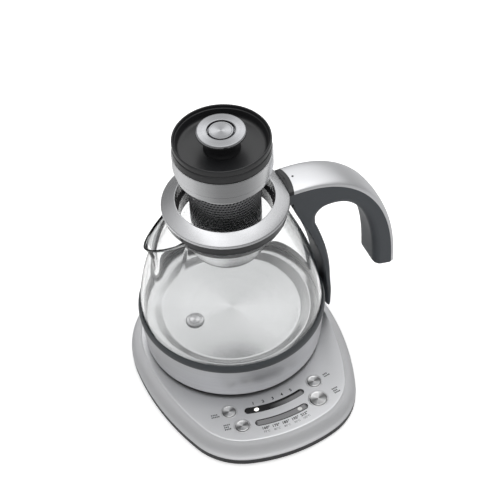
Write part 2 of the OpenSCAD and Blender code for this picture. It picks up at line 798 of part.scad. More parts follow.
module temperature_sensor() {
    color("gainsboro") translate(concat(sensor_place, 0)) turned([[0, spreader_z - 5], [3, spreader_z - 5],
        [3, plate_z + fit_gap], [sensor_r, plate_z + fit_gap], [sensor_r, plate_z + 0.9],
        [sensor_r - 0.9, plate_z + 1.6], [sensor_r - 3, plate_z + 1.9], [0, plate_z + 1.9]]);
}

// ---- Collar ----
sleeve_low = collar_z - 12;
ledge_r = mouth_r - ledge_w;
sleeve_r = mouth_r + 2.2;
collar_slope = collar_rise / (collar_r - mouth_r);
lug_w = 16;
lug_z0 = collar_z + 1.5;
lug_z1 = collar_z + 4.5;
handle_screw_x = collar_r + strip_w + 3.6;
handle_screw_y = 4.5;
lug_x = handle_screw_x + 4.5;
// The glass swells a little below its rim, and the apron clears it
neck_lap = 2.4;
apron_gap = 0.5;
gasket_low = collar_z - 7;

module collar_body() {
    under = collar_wall + 0.05;
    color("#1b1c1f") difference() {
        union() {
            turned([[ledge_r, sleeve_low], [sleeve_r, sleeve_low], [sleeve_r, collar_z],
                [neck_r + 1.6, collar_z], [neck_r + 2.2, collar_z + 0.6],
                [collar_r - 1, collar_edge_z - 2],
                [collar_r - 1, collar_edge_z + collar_slope - under],
                [mouth_r, collar_top - under], [mouth_r, collar_z], [ledge_r, collar_z]]);
            // Apron over the glass's neck, open at the spout
            rotate([0, 0, spout_half + 3 - 180]) rotate_extrude(angle = 354 - 2 * spout_half)
                translate([neck_r + apron_gap, collar_z - neck_lap]) square([0.9, neck_lap + 0.4]);
            translate([neck_r, -lug_w / 2, lug_z0]) cube([lug_x - neck_r, lug_w, lug_z1 - lug_z0]);
        }
        for (s = [-1, 1])
            post([handle_screw_x, s * handle_screw_y], pad_screw_r + fit_gap, lug_z0 - 1, lug_z1 + 1);
    }
}

module collar_ring() {
    rim_in = collar_r - 0.9;
    color("silver") turned([[mouth_r, collar_top - collar_wall],
        [rim_in, collar_edge_z - collar_wall + collar_slope * 0.9], [rim_in, collar_edge_z - 2.2],
        [collar_r, collar_edge_z - 2], [collar_r, collar_edge_z - 0.4],
        [collar_r - 0.5, collar_edge_z + collar_slope * 0.5],
        [mouth_r + 0.5, collar_top - collar_slope * 0.5], [mouth_r, collar_top - 0.6]]);
}

module neck_gasket() {
    glass_in_r = neck_r - glass_wall - fit_gap;
    color("#3a3d40") tube(glass_in_r, sleeve_r + fit_gap / 2, gasket_low, collar_z - 0.2);
}

// ---- Handle ----
bridge_x = collar_r + 3.5;
bridge_top = collar_edge_z + grip_rise;
grip_foot = grip_end_z + 4;
grip_corner = grip_depth / 2;
gap_x = 80;
gap_round = 10;
gap_roof = bridge_top - bridge_depth;
cap_power = 2.3;
arch_power = 2.4;
stem_lean = 0.11;
stem_end = skirt_z + 2.5;
strip_r = collar_r + strip_w;

// Quarter of a superellipse: centre, half sizes, power and angle
function squircle(c, a, b, n, phi) = c + [a * pow(abs(cos(phi)), 2 / n), b * pow(abs(sin(phi)), 2 / n)];
// Outer line of the handle, under the cap, from the collar to the grip's end
function spine() = concat([[collar_r - 4, bridge_top]],
    [for (phi = [90:-4:2]) squircle([bridge_x, grip_foot], grip_x - bridge_x, bridge_top - grip_foot,
        cap_power, phi)], [[grip_x, grip_end_z + 1.5]]);
// Inner and outer face of the stem at a height
stem_at_seal = max(glass_at(seal_top) + stem_gap, seal_r + 0.6);
function stem_in(z) = z > seal_top ? glass_at(z) + stem_at_seal - glass_at(seal_top)
    : stem_at_seal + min(2, (seal_top - z) * stem_lean);
function stem_out(z) = stem_in(z) + stem_foot_t
    + (stem_top_t - stem_foot_t) * max(0, (z - skirt_z)) / (gap_roof - gap_round - skirt_z);

// Closed side view as [x, z, rounding share], clockwise from the collar
function side_view() = concat(
    [for (p = spine()) [p[0], p[1], 0]],
    [[grip_x - 1, grip_end_z + 0.3, 0.1], [grip_x - 0.3 * grip_depth, grip_end_z, 0.3]],
    [for (a = [-90:-20:-170]) [grip_x - grip_depth + grip_corner * (1 + cos(a)),
        grip_end_z + grip_corner * (1 + sin(a)), -a / 170]],
    [for (phi = [2:5.5:90]) let (p = squircle([gap_x, grip_foot], grip_x - grip_depth - gap_x,
        gap_roof - grip_foot, arch_power, phi)) [p[0], p[1], 1]],
    [for (a = [105:20:175]) [gap_x + gap_round * cos(a), gap_roof - gap_round + gap_round * sin(a), 1]],
    [for (t = [0:0.125:1]) let (z = gap_roof - 17 - t * (gap_roof - 17 - stem_end - 4))
        [stem_out(z), z, 0.75 - 0.45 * t]],
    [for (x = [0.7, 0.3]) [stem_in(stem_end) + x * stem_foot_t, stem_end, 0.3]],
    [for (t = [0:0.1:1]) let (z = stem_end + 1 + t * (collar_z - 9 - stem_end)) [stem_in(z), z, 0.2]],
    [[collar_r + 1, collar_z - 3, 0], [collar_r - 4, collar_z - 3, 0]]);

// Side view drawn in by d times each point's rounding share
function drawn_in(view, d) = let (n = len(view))
    [for (i = [0:n - 1]) let (a = view[(i + n - 1) % n], b = view[(i + 1) % n],
        t = [b[0] - a[0], b[1] - a[1]] / norm([b[0] - a[0], b[1] - a[1]]), s = d * view[i][2])
        [view[i][0] + s * t[1], view[i][1] - s * t[0]]];

// Crowned strip along the spine, w wide each way, from height low over it up to the crown
module crowned_strip(low, edge_t, w) {
    line = spine();
    n = len(line);
    loft([for (i = [0:n - 1]) let (a = line[max(0, i - 1)], b = line[min(n - 1, i + 1)],
        t = (b - a) / norm(b - a), out = [-t[1], t[0]])
        [for (q = concat([[w, low]],
            [for (j = [0:12]) [w * cos(15 * j), edge_t + (cap_crown - edge_t) * pow(sin(15 * j), 0.8)]],
            [[-w, low]]))
            [line[i][0] + out[0] * q[1], q[0], line[i][1] + out[1] * q[1]]]]);
}

module handle_core() {
    view = side_view();
    w = handle_w / 2;
    rings = concat(
        [for (a = [90:-22.5:0]) [-w + grip_round * (1 - sin(a)), grip_round * (1 - cos(a))]],
        [for (a = [0:22.5:90]) [w - grip_round * (1 - sin(a)), grip_round * (1 - cos(a))]]);
    color("#474c52") difference() {
        union() {
            loft([for (ring = rings) [for (p = drawn_in(view, ring[1])) [p[0], ring[0], p[1]]]]);
            // Dark strip between the collar and the cap
            intersection() {
                crowned_strip(-1, 1, handle_w / 2 - fit_gap);
                tube(strip_r - fit_gap, collar_r, bridge_top - 1, collar_top + 5);
            }
            // Pad that meets the skirt
            translate([skirt_low_r - 2, -pad_half, pad_z - pad_half])
                cube([stem_in(stem_end) - skirt_low_r + 4, 2 * pad_half, 2 * pad_half]);
        }
        // Room for the collar
        post([0, 0], collar_r + fit_gap, collar_z - 5, collar_top + 10);
        // Room for the skirt
        translate([0, 0, skirt_z])
            cylinder(r1 = skirt_low_r + fit_gap, r2 = skirt_top_r + fit_gap, h = skirt_h);
        // Pocket for the collar's lug
        translate([collar_r - 5, -lug_w / 2 - fit_gap, lug_z0 - fit_gap])
            cube([lug_x - collar_r + 5 + fit_gap, lug_w + 2 * fit_gap, lug_z1 - lug_z0 + 2 * fit_gap]);
        for (s = [-1, 1]) {
            post([handle_screw_x, s * handle_screw_y], 3, lug_z1, collar_top + 10);
            post([handle_screw_x, s * handle_screw_y], pad_screw_r + fit_gap, lug_z0 - 10, lug_z1 + 1);
        }
        translate([skirt_low_r, 0, pad_z]) rotate([0, 90, 0])
            cylinder(r = pad_screw_r + fit_gap, h = stem_in(pad_z) + 2.2 - skirt_low_r);
    }
}

module handle_cap() {
    color("silver") difference() {
        crowned_strip(0.05, 1, handle_w / 2);
        post([0, 0], strip_r, bridge_top - 20, collar_top + 20);
    }
}

module handle_screws() {
    color("gray") for (s = [-1, 1]) {
        post([handle_screw_x, s * handle_screw_y], 2.8, lug_z1 + fit_gap, lug_z1 + 1.8);
        post([handle_screw_x, s * handle_screw_y], pad_screw_r, lug_z0 - 7, lug_z1 + 1);
    }
}

module handle_foot_screw() {
    color("gray") translate([foot_wall_r - 1.6, 0, pad_z]) rotate([0, 90, 0]) {
        cylinder(r = 3, h = 2);
        cylinder(r = pad_screw_r, h = stem_in(pad_z) + 1.6 - foot_wall_r + 1.6);
    }
}

// ---- Tea basket ----
band_r = mouth_r - slide_gap;
step_r = ledge_r - slide_gap;
band_in_r = step_r - basket_wall;
groove = 0.5;

module basket_band() {
    color("silver") turned([[band_in_r, step_z + 1.4], [step_r - 0.3, step_z + 1.4], [step_r - 0.3, step_z],
        [step_r, step_z + 0.3], [step_r, shoulder_z - groove], [step_r - groove, shoulder_z - groove],
        [step_r - groove, shoulder_z], [band_r - 0.4, shoulder_z], [band_r, shoulder_z + 0.4],
        [band_r, band_z - 0.3 - fit_gap], [band_r - 0.3, band_z - fit_gap], [band_in_r, band_z - fit_gap]]);
}

// Plain top of the cylinder, spread into a flange that the band carries
module basket_body() {
    color("silver") turned([[basket_r - basket_wall, mesh_top], [basket_r + 0.6, mesh_top],
        [basket_r + 0.6, mesh_top + 1], [basket_r, mesh_top + 1.4], [basket_r, step_z - 2],
        [basket_r + 2, step_z], [step_r - 0.4, step_z], [step_r - 0.4, step_z + 1.3],
        [basket_r + 1.4, step_z + 1.3], [basket_r - basket_wall, step_z - 1.2]]);
}

// Perforated wall: rows of upright slots, each row turned half a step from the one below
module basket_mesh() {
    pitch = mesh_h / slot_rows;
    slot_h = pitch - 2.6;
    color("dimgray") difference() {
        tube(basket_r, basket_r - basket_wall, mesh_z, mesh_top - fit_gap);
        for (k = [0:slot_rows - 1], i = [0:slot_columns - 1])
            rotate([0, 0, 360 * (i + (k % 2) / 2) / slot_columns])
                translate([basket_r - 3, -slot_w / 2, mesh_z + k * pitch + (pitch - slot_h) / 2])
                    cube([6, slot_w, slot_h]);
    }
}

// Deep drawn cup that closes the bottom
module basket_cup() {
    color("silver") turned([[0, cup_z], [basket_r - 1.6, cup_z], [basket_r, cup_z + 1.6],
        [basket_r, mesh_z - fit_gap], [basket_r - basket_wall, mesh_z - fit_gap],
        [basket_r - basket_wall, cup_z + 2], [basket_r - 2.4, cup_z + basket_wall],
        [0, cup_z + basket_wall]]);
}

// ---- Lid ----
lid_r = band_r - 0.7;
plug_r = band_in_r - 1;
plug_low = band_z - 8;
dish_low = rim_z - lid_dish_depth;
knob_top = rim_z + knob_rise;
knob_z = knob_top - knob_h;

module lid_dish() {
    color("#1b1c1f") turned([[0, plug_low], [plug_r - 0.6, plug_low], [plug_r, plug_low + 0.6],
        [plug_r, plug_low + 2.4], [plug_r - 1.2, plug_low + 2.4], [plug_r - 1.2, plug_low + 5],
        [plug_r, plug_low + 5], [plug_r, band_z], [lid_r - 0.4, band_z], [lid_r, band_z + 0.4],
        [lid_r, rim_z - 6.2], [lid_r - 0.8, rim_z - 5.8], [lid_r - 0.8, rim_z - 5.2],
        [lid_r, rim_z - 4.8],
        [lid_r, rim_z - 0.6], [lid_r - 0.5, rim_z], [lid_r - 1.2, rim_z], [lid_r - 1.6, rim_z - 0.6],
        [lid_r - 3.4, dish_low + 1.6], [lid_r - 5, dish_low + 0.4], [lid_r - 7, dish_low],
        [post_r + 3, dish_low - 0.6], [post_r + fit_gap, dish_low - 0.6], [post_r + fit_gap, dish_low - 1.6],
        [0, dish_low - 1.6]]);
}

module lid_seal() {
    color("#4a4e52") turned([[plug_r - 1.1, plug_low + 2.5], [plug_r + 0.3, plug_low + 2.5],
        [plug_r + 0.6, plug_low + 3.7], [plug_r + 0.3, plug_low + 4.9], [plug_r - 1.1, plug_low + 4.9]]);
}

// Black post with a waist for the fingers, standing in the dish
module knob_post() {
    waist = 1.4;
    color("#141517") turned([[0, dish_low - 1.5], [post_r, dish_low - 1.5], [post_r, dish_low],
        [post_r - waist, dish_low + 2.5], [post_r - waist, knob_z - 2.5], [post_r + 1.5, knob_z - fit_gap],
        [0, knob_z - fit_gap]]);
}

module knob_ring() {
    color("silver") turned([[post_r - 4, knob_z], [knob_r - 0.6, knob_z], [knob_r, knob_z + 0.6],
        [knob_r, knob_top - 1.4], [knob_r - 0.9, knob_top - 0.5], [disc_r + 1.8, knob_top],
        [disc_r + 1.1, knob_top - 0.4], [disc_r + 0.9, knob_z + 1], [post_r - 4, knob_z + 1]]);
}

module knob_disc() {
    color("gainsboro") turned([[0, knob_z + fit_gap], [min(disc_r, post_r - 4 - fit_gap), knob_z + fit_gap],
        [min(disc_r, post_r - 4 - fit_gap), knob_z + 1 + fit_gap], [disc_r, knob_z + 1 + fit_gap],
        [disc_r, knob_top - 0.7], [disc_r - 0.4, knob_top - 0.3], [0, knob_top - 0.9]]);
}

base_cover();
base_tray();
seat_dish();
base_connector();
base_contacts();
rubber_feet();
base_screws();
control_board();
tact_switches();
indicator_leds();
light_shield();
buzzer();
power_board();
power_relay();
board_screws();
time_window();
heat_window();
button_bezels();
cord_gland();
supply_leads();
button_left_inner();
button_left_outer();
button_right_inner();
start_button();
jug_connector();
jug_contacts();
jug_foot();
jug_skirt();
jug_seal();
jug_glass();
heater_plate();
heat_spreader();
heating_element();
temperature_sensor();
foot_screws();
collar_body();
collar_ring();
neck_gasket();
handle_core();
handle_cap();
handle_screws();
handle_foot_screw();
basket_band();
basket_body();
basket_mesh();
basket_cup();
lid_dish();
lid_seal();
knob_post();
knob_ring();
knob_disc();
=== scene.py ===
from math import atan2, cos, degrees, radians, sin, sqrt, tau
import bpy
import bmesh
from mathutils import Matrix, Vector


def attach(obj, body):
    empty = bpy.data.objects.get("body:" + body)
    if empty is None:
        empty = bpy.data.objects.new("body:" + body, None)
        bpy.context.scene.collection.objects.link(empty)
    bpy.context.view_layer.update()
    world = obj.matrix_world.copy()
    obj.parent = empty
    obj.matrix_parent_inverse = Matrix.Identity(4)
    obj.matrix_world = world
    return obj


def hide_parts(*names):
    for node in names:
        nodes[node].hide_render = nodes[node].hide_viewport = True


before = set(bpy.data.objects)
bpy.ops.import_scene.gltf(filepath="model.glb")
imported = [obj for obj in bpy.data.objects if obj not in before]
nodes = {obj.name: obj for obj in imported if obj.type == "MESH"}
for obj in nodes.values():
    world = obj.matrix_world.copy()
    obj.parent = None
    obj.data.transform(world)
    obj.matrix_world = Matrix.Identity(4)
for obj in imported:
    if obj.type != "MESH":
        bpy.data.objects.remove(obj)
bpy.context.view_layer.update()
scene = bpy.context.scene
mm = 0.001
print("frame loaded:", len(nodes), "nodes")

# heights and radii that several pieces share, in millimetres
tea = {
    "baseTop": 20.0, "backRadius": 85.0, "frontRadius": 124.8, "cornerRadius": 52.0, "sideRadius": 218.0,
    "sideStart": 3.0, "skirtFoot": 22.5, "skirtTop": 53.4, "sealTop": 60.9, "glassFoot": 54.7,
    "collarEdge": 168.9, "collarTop": 174.2, "collarRadius": 49.3, "mouthRadius": 38.1, "lidRim": 234.0,
}


# tools for angles in degrees
def cosOf(angle):
    return cos(radians(angle))


def sinOf(angle):
    return sin(radians(angle))


def aboutZ(angle):
    return Matrix.Rotation(radians(angle), 3, "Z")


# tools for node trees
def newGroup(name, inputs, outputs):
    tree = bpy.data.node_groups.new(name, "ShaderNodeTree")
    tree.interface.new_socket("Vector", in_out="INPUT", socket_type="NodeSocketVector")
    for label, value in inputs.items():
        socket = tree.interface.new_socket(label, in_out="INPUT", socket_type="NodeSocketFloat")
        socket.default_value = value
    for label in outputs:
        tree.interface.new_socket(label, in_out="OUTPUT", socket_type="NodeSocketFloat")
    return tree, tree.nodes.new("NodeGroupInput").outputs, tree.nodes.new("NodeGroupOutput").inputs


def added(tree, kind):
    return tree.nodes.new("ShaderNode" + kind)


def feed(tree, socket, value):
    if isinstance(value, bpy.types.NodeSocket):
        tree.links.new(value, socket)
    else:
        socket.default_value = value


def calc(tree, operation, *values):
    node = added(tree, "Math")
    node.operation = operation
    for socket, value in zip(node.inputs, values):
        feed(tree, socket, value)
    return node.outputs[0]


def times(tree, one, other):
    return calc(tree, "MULTIPLY", one, other)


def less(tree, one, other):
    return calc(tree, "SUBTRACT", one, other)


# value moved from one range to another, and held inside it
def spread(tree, value, low, high, fromLow=0.0, fromHigh=1.0):
    node = added(tree, "MapRange")
    feed(tree, node.inputs["Value"], value)
    for label, amount in (("From Min", fromLow), ("From Max", fromHigh), ("To Min", low), ("To Max", high)):
        feed(tree, node.inputs[label], amount)
    return node.outputs["Result"]


def noise(tree, vector, scale, detail=2.0, roughness=0.5):
    node = added(tree, "TexNoise")
    feed(tree, node.inputs["Vector"], vector)
    feed(tree, node.inputs["Scale"], scale)
    node.inputs["Detail"].default_value = detail
    node.inputs["Roughness"].default_value = roughness
    return node.outputs[0]


def apart(tree, vector):
    node = added(tree, "SeparateXYZ")
    feed(tree, node.inputs[0], vector)
    return node.outputs


def together(tree, x, y, z):
    node = added(tree, "CombineXYZ")
    for socket, value in zip(node.inputs, (x, y, z)):
        feed(tree, socket, value)
    return node.outputs[0]


def fromAxis(tree, x, y):
    squares = calc(tree, "ADD", calc(tree, "POWER", x, 2.0), calc(tree, "POWER", y, 2.0))
    return calc(tree, "SQRT", squares)


# fine rings left by spinning or turning, about the Z axis of the vector
def makeTurnedLines():
    tree, given, gives = newGroup("turnedLines", {"Lines per mm": 4.0, "Contrast": 0.1},
                                  ("Height", "Shade"))
    x, y, z = apart(tree, given["Vector"])
    onRadius = together(tree, fromAxis(tree, x, y), z, 0.0)
    perMetre = times(tree, given["Lines per mm"], 1000.0)
    rings = noise(tree, onRadius, perMetre, 3.0, 0.6)
    broad = noise(tree, onRadius, times(tree, perMetre, 0.12), 2.0)
    level = less(tree, calc(tree, "ADD", rings, broad), 1.0)
    feed(tree, gives["Height"], rings)
    feed(tree, gives["Shade"], calc(tree, "MULTIPLY_ADD", given["Contrast"], level, 1.0))
    return tree


# painted reflection: the light and dark wedges that a spun face shows under lamps, made as a colour mask
# about the Z axis of the vector
def makeConicSheen():
    tree, given, gives = newGroup("conicSheen", {"Wedges": 2.0, "Turn": 0.0, "Tightness": 2.0}, ("Mask",))
    x, y, z = apart(tree, given["Vector"])
    around = calc(tree, "ARCTAN2", y, x)
    paintedWedges = calc(tree, "COSINE", calc(tree, "MULTIPLY_ADD", around, given["Wedges"], given["Turn"]))
    paintedWedges = calc(tree, "POWER", calc(tree, "MULTIPLY_ADD", paintedWedges, 0.5, 0.5), given["Tightness"])
    circle = together(tree, calc(tree, "COSINE", around), calc(tree, "SINE", around), 0.0)
    uneven = calc(tree, "ADD", noise(tree, circle, 2.3, 3.0), 0.5)
    feed(tree, gives["Mask"], times(tree, paintedWedges, uneven))
    return tree


# straight grain of a brushed sheet, long along X of the vector
def makeBrushedGrain():
    tree, given, gives = newGroup("brushedGrain", {"Lines per mm": 4.0, "Stretch": 40.0, "Contrast": 0.1},
                                  ("Height", "Shade"))
    x, y, z = apart(tree, given["Vector"])
    stretched = together(tree, calc(tree, "DIVIDE", x, given["Stretch"]), y, z)
    lines = noise(tree, stretched, times(tree, given["Lines per mm"], 1000.0), 3.0, 0.6)
    cloud = noise(tree, given["Vector"], 14.0, 2.0)
    level = less(tree, calc(tree, "ADD", lines, cloud), 1.0)
    feed(tree, gives["Height"], lines)
    feed(tree, gives["Shade"], calc(tree, "MULTIPLY_ADD", given["Contrast"], level, 1.0))
    return tree


# fine pitted skin of a moulding, with slightly uneven colour
def makeMouldedSkin():
    tree, given, gives = newGroup("mouldedSkin", {"Pits per mm": 2.5, "Contrast": 0.15},
                                  ("Height", "Shade"))
    perMetre = times(tree, given["Pits per mm"], 1000.0)
    level = less(tree, noise(tree, given["Vector"], 30.0, 3.0), 0.5)
    feed(tree, gives["Height"], noise(tree, given["Vector"], perMetre))
    feed(tree, gives["Shade"], calc(tree, "MULTIPLY_ADD", given["Contrast"], level, 1.0))
    return tree


# faint marks of handling, for roughness
def makeHandled():
    tree, given, gives = newGroup("handled", {"Roughness": 0.3, "Amount": 0.08}, ("Roughness",))
    level = less(tree, noise(tree, given["Vector"], 45.0, 5.0, 0.65), 0.5)
    feed(tree, gives["Roughness"], calc(tree, "MULTIPLY_ADD", given["Amount"], level, given["Roughness"]))
    return tree


turnedLines, conicSheen, brushedGrain = makeTurnedLines(), makeConicSheen(), makeBrushedGrain()
mouldedSkin, handled = makeMouldedSkin(), makeHandled()


# tools for materials
def blankMaterial(name, **values):
    material = bpy.data.materials.new(name)
    material.use_nodes = True
    tree = material.node_tree
    shader = tree.nodes["Principled BSDF"]
    for label, value in values.items():
        shader.inputs[label.replace("_", " ")].default_value = value
    return material, tree, shader, added(tree, "TexCoord").outputs["Object"]


def useGroup(tree, group, **values):
    node = added(tree, "Group")
    node.node_tree = group
    for label, value in values.items():
        feed(tree, node.inputs[label.replace("_", " ")], value)
    return node.outputs


def shaded(tree, colour, shade):
    node = added(tree, "Mix")
    node.data_type = "RGBA"
    node.blend_type = "MULTIPLY"
    node.inputs["Factor"].default_value = 1.0
    feed(tree, node.inputs["A"], (*colour, 1))
    feed(tree, node.inputs["B"], together(tree, shade, shade, shade))
    return node.outputs["Result"]


def raised(tree, height, depth):
    node = added(tree, "Bump")
    node.inputs["Strength"].default_value = 1.0
    node.inputs["Distance"].default_value = depth * mm
    feed(tree, node.inputs["Height"], height)
    return node.outputs["Normal"]


def centredOn(tree, place, centre):
    node = added(tree, "Mapping")
    node.inputs["Location"].default_value = (-centre[0] * mm, -centre[1] * mm, 0)
    feed(tree, node.inputs["Vector"], place)
    return node.outputs[0]


def worn(tree, shader, place, roughness, amount):
    marks = useGroup(tree, handled, Vector=place, Roughness=roughness, Amount=amount)
    feed(tree, shader.inputs["Roughness"], marks["Roughness"])


# steel with the rings of turned or spun work and painted reflection wedges in its colour, as strong as
# sheen, about the centre given in mm
def turnedSteel(name, colour, roughness, lines=4.0, contrast=0.1, depth=0.0015, sheen=0.25, wedges=2.0,
                turn=0.0, tightness=1.5, centre=(0, 0), aniso=0.6):
    material, tree, shader, place = blankMaterial(name, Metallic=1.0, Anisotropic=aniso)
    place = centredOn(tree, place, centre)
    ringed = useGroup(tree, turnedLines, Vector=place, Lines_per_mm=lines, Contrast=contrast)
    sheens = useGroup(tree, conicSheen, Vector=place, Wedges=wedges, Turn=turn, Tightness=tightness)
    # painted reflection: the wedge mask lightens and darkens the base colour
    lift = spread(tree, sheens["Mask"], 1.0 - sheen, 1.0 + sheen * 0.4)
    shade = times(tree, ringed["Shade"], lift)
    feed(tree, shader.inputs["Base Color"], shaded(tree, colour, shade))
    feed(tree, shader.inputs["Normal"], raised(tree, ringed["Height"], depth))
    worn(tree, shader, place, roughness, 0.08)
    if aniso:
        tangent = added(tree, "Tangent")
        tangent.direction_type = "RADIAL"
        tangent.axis = "Z"
        tree.links.new(tangent.outputs[0], shader.inputs["Tangent"])
    return material


def brushedSteel(name, colour, roughness, lines=3.0, contrast=0.08, depth=0.004):
    material, tree, shader, place = blankMaterial(name, Metallic=1.0)
    grain = useGroup(tree, brushedGrain, Vector=place, Lines_per_mm=lines, Contrast=contrast)
    feed(tree, shader.inputs["Base Color"], shaded(tree, colour, grain["Shade"]))
    feed(tree, shader.inputs["Normal"], raised(tree, grain["Height"], depth))
    worn(tree, shader, place, roughness, 0.1)
    return material


def moulded(name, colour, roughness, pits=2.5, contrast=0.2, depth=0.01, coat=0.0):
    material, tree, shader, place = blankMaterial(name, Coat_Weight=coat)
    skin = useGroup(tree, mouldedSkin, Vector=place, Pits_per_mm=pits, Contrast=contrast)
    feed(tree, shader.inputs["Base Color"], shaded(tree, colour, skin["Shade"]))
    feed(tree, shader.inputs["Normal"], raised(tree, skin["Height"], depth))
    worn(tree, shader, place, roughness, 0.1)
    return material


def clearGlass():
    material, tree, shader, place = blankMaterial(
        "clearGlass", Base_Color=(0.985, 0.99, 0.99, 1), Transmission_Weight=1.0, Roughness=0.0, IOR=1.47)
    drawn = noise(tree, place, 28.0)   # slow waves left by drawing the glass
    feed(tree, shader.inputs["Normal"], raised(tree, drawn, 0.12))
    return material


# dark gloss along an arc on the panel with a paler frosted strip in it; painted shade darkens the strip at
# its sides and ends, towards the recess walls, and a painted reflection makes it come up along the arc:
# shift and half width of the pale strip in mm, and the angles between which it comes up
def smokedWindow(name, row, sweep, strip, reflectionAngles, pale):
    material, tree, shader, place = blankMaterial(name)
    x, y, z = apart(tree, place)
    across = less(tree, fromAxis(tree, x, y), (row + strip[0]) * mm)
    angle = calc(tree, "ARCTAN2", x, times(tree, y, -1.0))
    end = less(tree, radians(sweep), calc(tree, "ABSOLUTE", angle))
    # painted shade: the strip darkens at its sides, towards the recess walls
    inside = spread(tree, calc(tree, "ABSOLUTE", across), 1.0, 0.0,
                    (strip[1] - 0.5) * mm, (strip[1] + 0.3) * mm)
    # painted reflection: the strip comes up between these angles along the arc
    paintedReflection = spread(tree, angle, 0.0, 1.0, radians(reflectionAngles[0]), radians(reflectionAngles[1]))
    # painted shade: the strip darkens at the slot's ends
    ended = spread(tree, end, 0.0, 1.0, -0.025, -0.005)
    mask = times(tree, times(tree, inside, paintedReflection), ended)
    speck = spread(tree, noise(tree, place, 1500.0), 0.85, 1.15)
    level = times(tree, speck, calc(tree, "MULTIPLY_ADD", mask, pale, 0.008))
    feed(tree, shader.inputs["Base Color"], shaded(tree, (1.0, 1.0, 1.02), level))
    worn(tree, shader, place, 0.2, 0.06)
    return material


def glowing(name, colour, strength):
    material, tree, shader, place = blankMaterial(name, Emission_Strength=strength)
    speckled = shaded(tree, colour, spread(tree, noise(tree, place, 900.0), 0.9, 1.1))
    feed(tree, shader.inputs["Base Color"], speckled)
    feed(tree, shader.inputs["Emission Color"], speckled)
    return material


# tools for objects and shapes
def linked(name, data):
    made = bpy.data.objects.new(name, data)
    scene.collection.objects.link(made)
    return made


def finished(name, bm, body, material, stands=(), sharpAngle=32.0, turnOut=True):
    bmesh.ops.remove_doubles(bm, verts=bm.verts, dist=0.001 * mm)
    if turnOut:
        bmesh.ops.recalc_face_normals(bm, faces=bm.faces)
    mesh = bpy.data.meshes.new(name)
    bm.to_mesh(mesh)
    bm.free()
    mesh.shade_smooth()
    mesh.set_sharp_from_angle(angle=radians(sharpAngle))
    mesh.materials.append(material)
    piece = linked(name, mesh)
    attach(piece, body)
    if stands:
        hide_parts(*stands)
    return piece


def evened(piece):
    even = piece.modifiers.new("evened", "WEIGHTED_NORMAL")
    even.keep_sharp = True
    even.weight = 80


def walled(piece, thickness):
    wall = piece.modifiers.new("wall", "SOLIDIFY")
    wall.thickness = thickness * mm
    wall.offset = -1.0
    return wall


# a closed profile of (radius, height, corner setback) in mm, spun about Z through the centre
def spinProfile(bm, profile, steps=144, centre=(0.0, 0.0)):
    part = bmesh.new()
    corners = [part.verts.new((p[0] * mm, 0, p[1] * mm)) for p in profile]
    part.faces.new(corners)
    softened = {}
    for corner, p in zip(corners, profile):
        if len(p) > 2:
            softened.setdefault(p[2], []).append(corner)
    for setback, group in sorted(softened.items()):
        bmesh.ops.bevel(part, geom=group, offset=setback * mm, segments=4, profile=0.5, affect="VERTICES",
                        material=-1)
    bmesh.ops.delete(part, geom=list(part.faces), context="FACES_ONLY")
    axisEdges = [e for e in part.edges if all(abs(v.co.x) < 1e-7 for v in e.verts)]
    bmesh.ops.delete(part, geom=axisEdges, context="EDGES")
    bmesh.ops.spin(part, geom=list(part.verts) + list(part.edges), cent=(0, 0, 0), axis=(0, 0, 1),
                   dvec=(0, 0, 0), angle=tau, steps=steps, use_merge=True, use_duplicate=False)
    bmesh.ops.remove_doubles(part, verts=part.verts, dist=0.001 * mm)
    bmesh.ops.translate(part, verts=part.verts, vec=(centre[0] * mm, centre[1] * mm, 0))
    bmesh.ops.recalc_face_normals(part, faces=part.faces)
    mesh = bpy.data.meshes.new("part")
    part.to_mesh(mesh)
    part.free()
    bm.from_mesh(mesh)
    bpy.data.meshes.remove(mesh)


def turnedPiece(name, profile, body, material, stands=(), steps=144, centre=(0.0, 0.0)):
    bm = bmesh.new()
    spinProfile(bm, profile, steps, centre)
    return finished(name, bm, body, material, stands)


# a box of the size given, turned and then moved to its place
def addBox(bm, size, place, turn=Matrix.Identity(3)):
    corners = bmesh.ops.create_cube(bm, size=1.0)["verts"]
    bmesh.ops.scale(bm, verts=corners, vec=Vector(size) * mm)
    bmesh.ops.rotate(bm, verts=corners, cent=(0, 0, 0), matrix=turn)
    bmesh.ops.translate(bm, verts=corners, vec=Vector(place) * mm)
    return corners


def loopEdges(bm, ring):
    return [bm.edges.get((a, b)) or bm.edges.new((a, b)) for a, b in zip(ring, ring[1:] + ring[:1])]


# extrudes a closed ring of vertices and puts the new ones at the places, in mm
def grown(bm, ring, places):
    made = bmesh.ops.extrude_edge_only(bm, edges=loopEdges(bm, ring))["geom"]
    new = {v for v in made if isinstance(v, bmesh.types.BMVert)}
    following = [next(e.other_vert(v) for e in v.link_edges if e.other_vert(v) in new) for v in ring]
    for v, place in zip(following, places):
        v.co = Vector(place) * mm
    return following


def firstRing(bm, places):
    ring = [bm.verts.new(Vector(place) * mm) for place in places]
    loopEdges(bm, ring)
    return ring


# joins rows of places into a skin, and closes its ends with caps or joins them to each other
def lofted(bm, rows, capped=True):
    start = ring = firstRing(bm, rows[0])
    for row in rows[1:]:
        ring = grown(bm, ring, row)
    if capped:
        bmesh.ops.contextual_create(bm, geom=loopEdges(bm, start))
        bmesh.ops.contextual_create(bm, geom=loopEdges(bm, ring))
    else:
        bmesh.ops.bridge_loops(bm, edges=loopEdges(bm, start) + loopEdges(bm, ring))


def arcPoints(centre, radius, start, end, count):
    turns = [radians(start + (end - start) * i / count) for i in range(count)]
    return [Vector((centre[0] + radius * cos(a), centre[1] + radius * sin(a))) for a in turns]


def onPanel(radius, angle):
    return Vector((radius * sinOf(angle), -radius * cosOf(angle)))
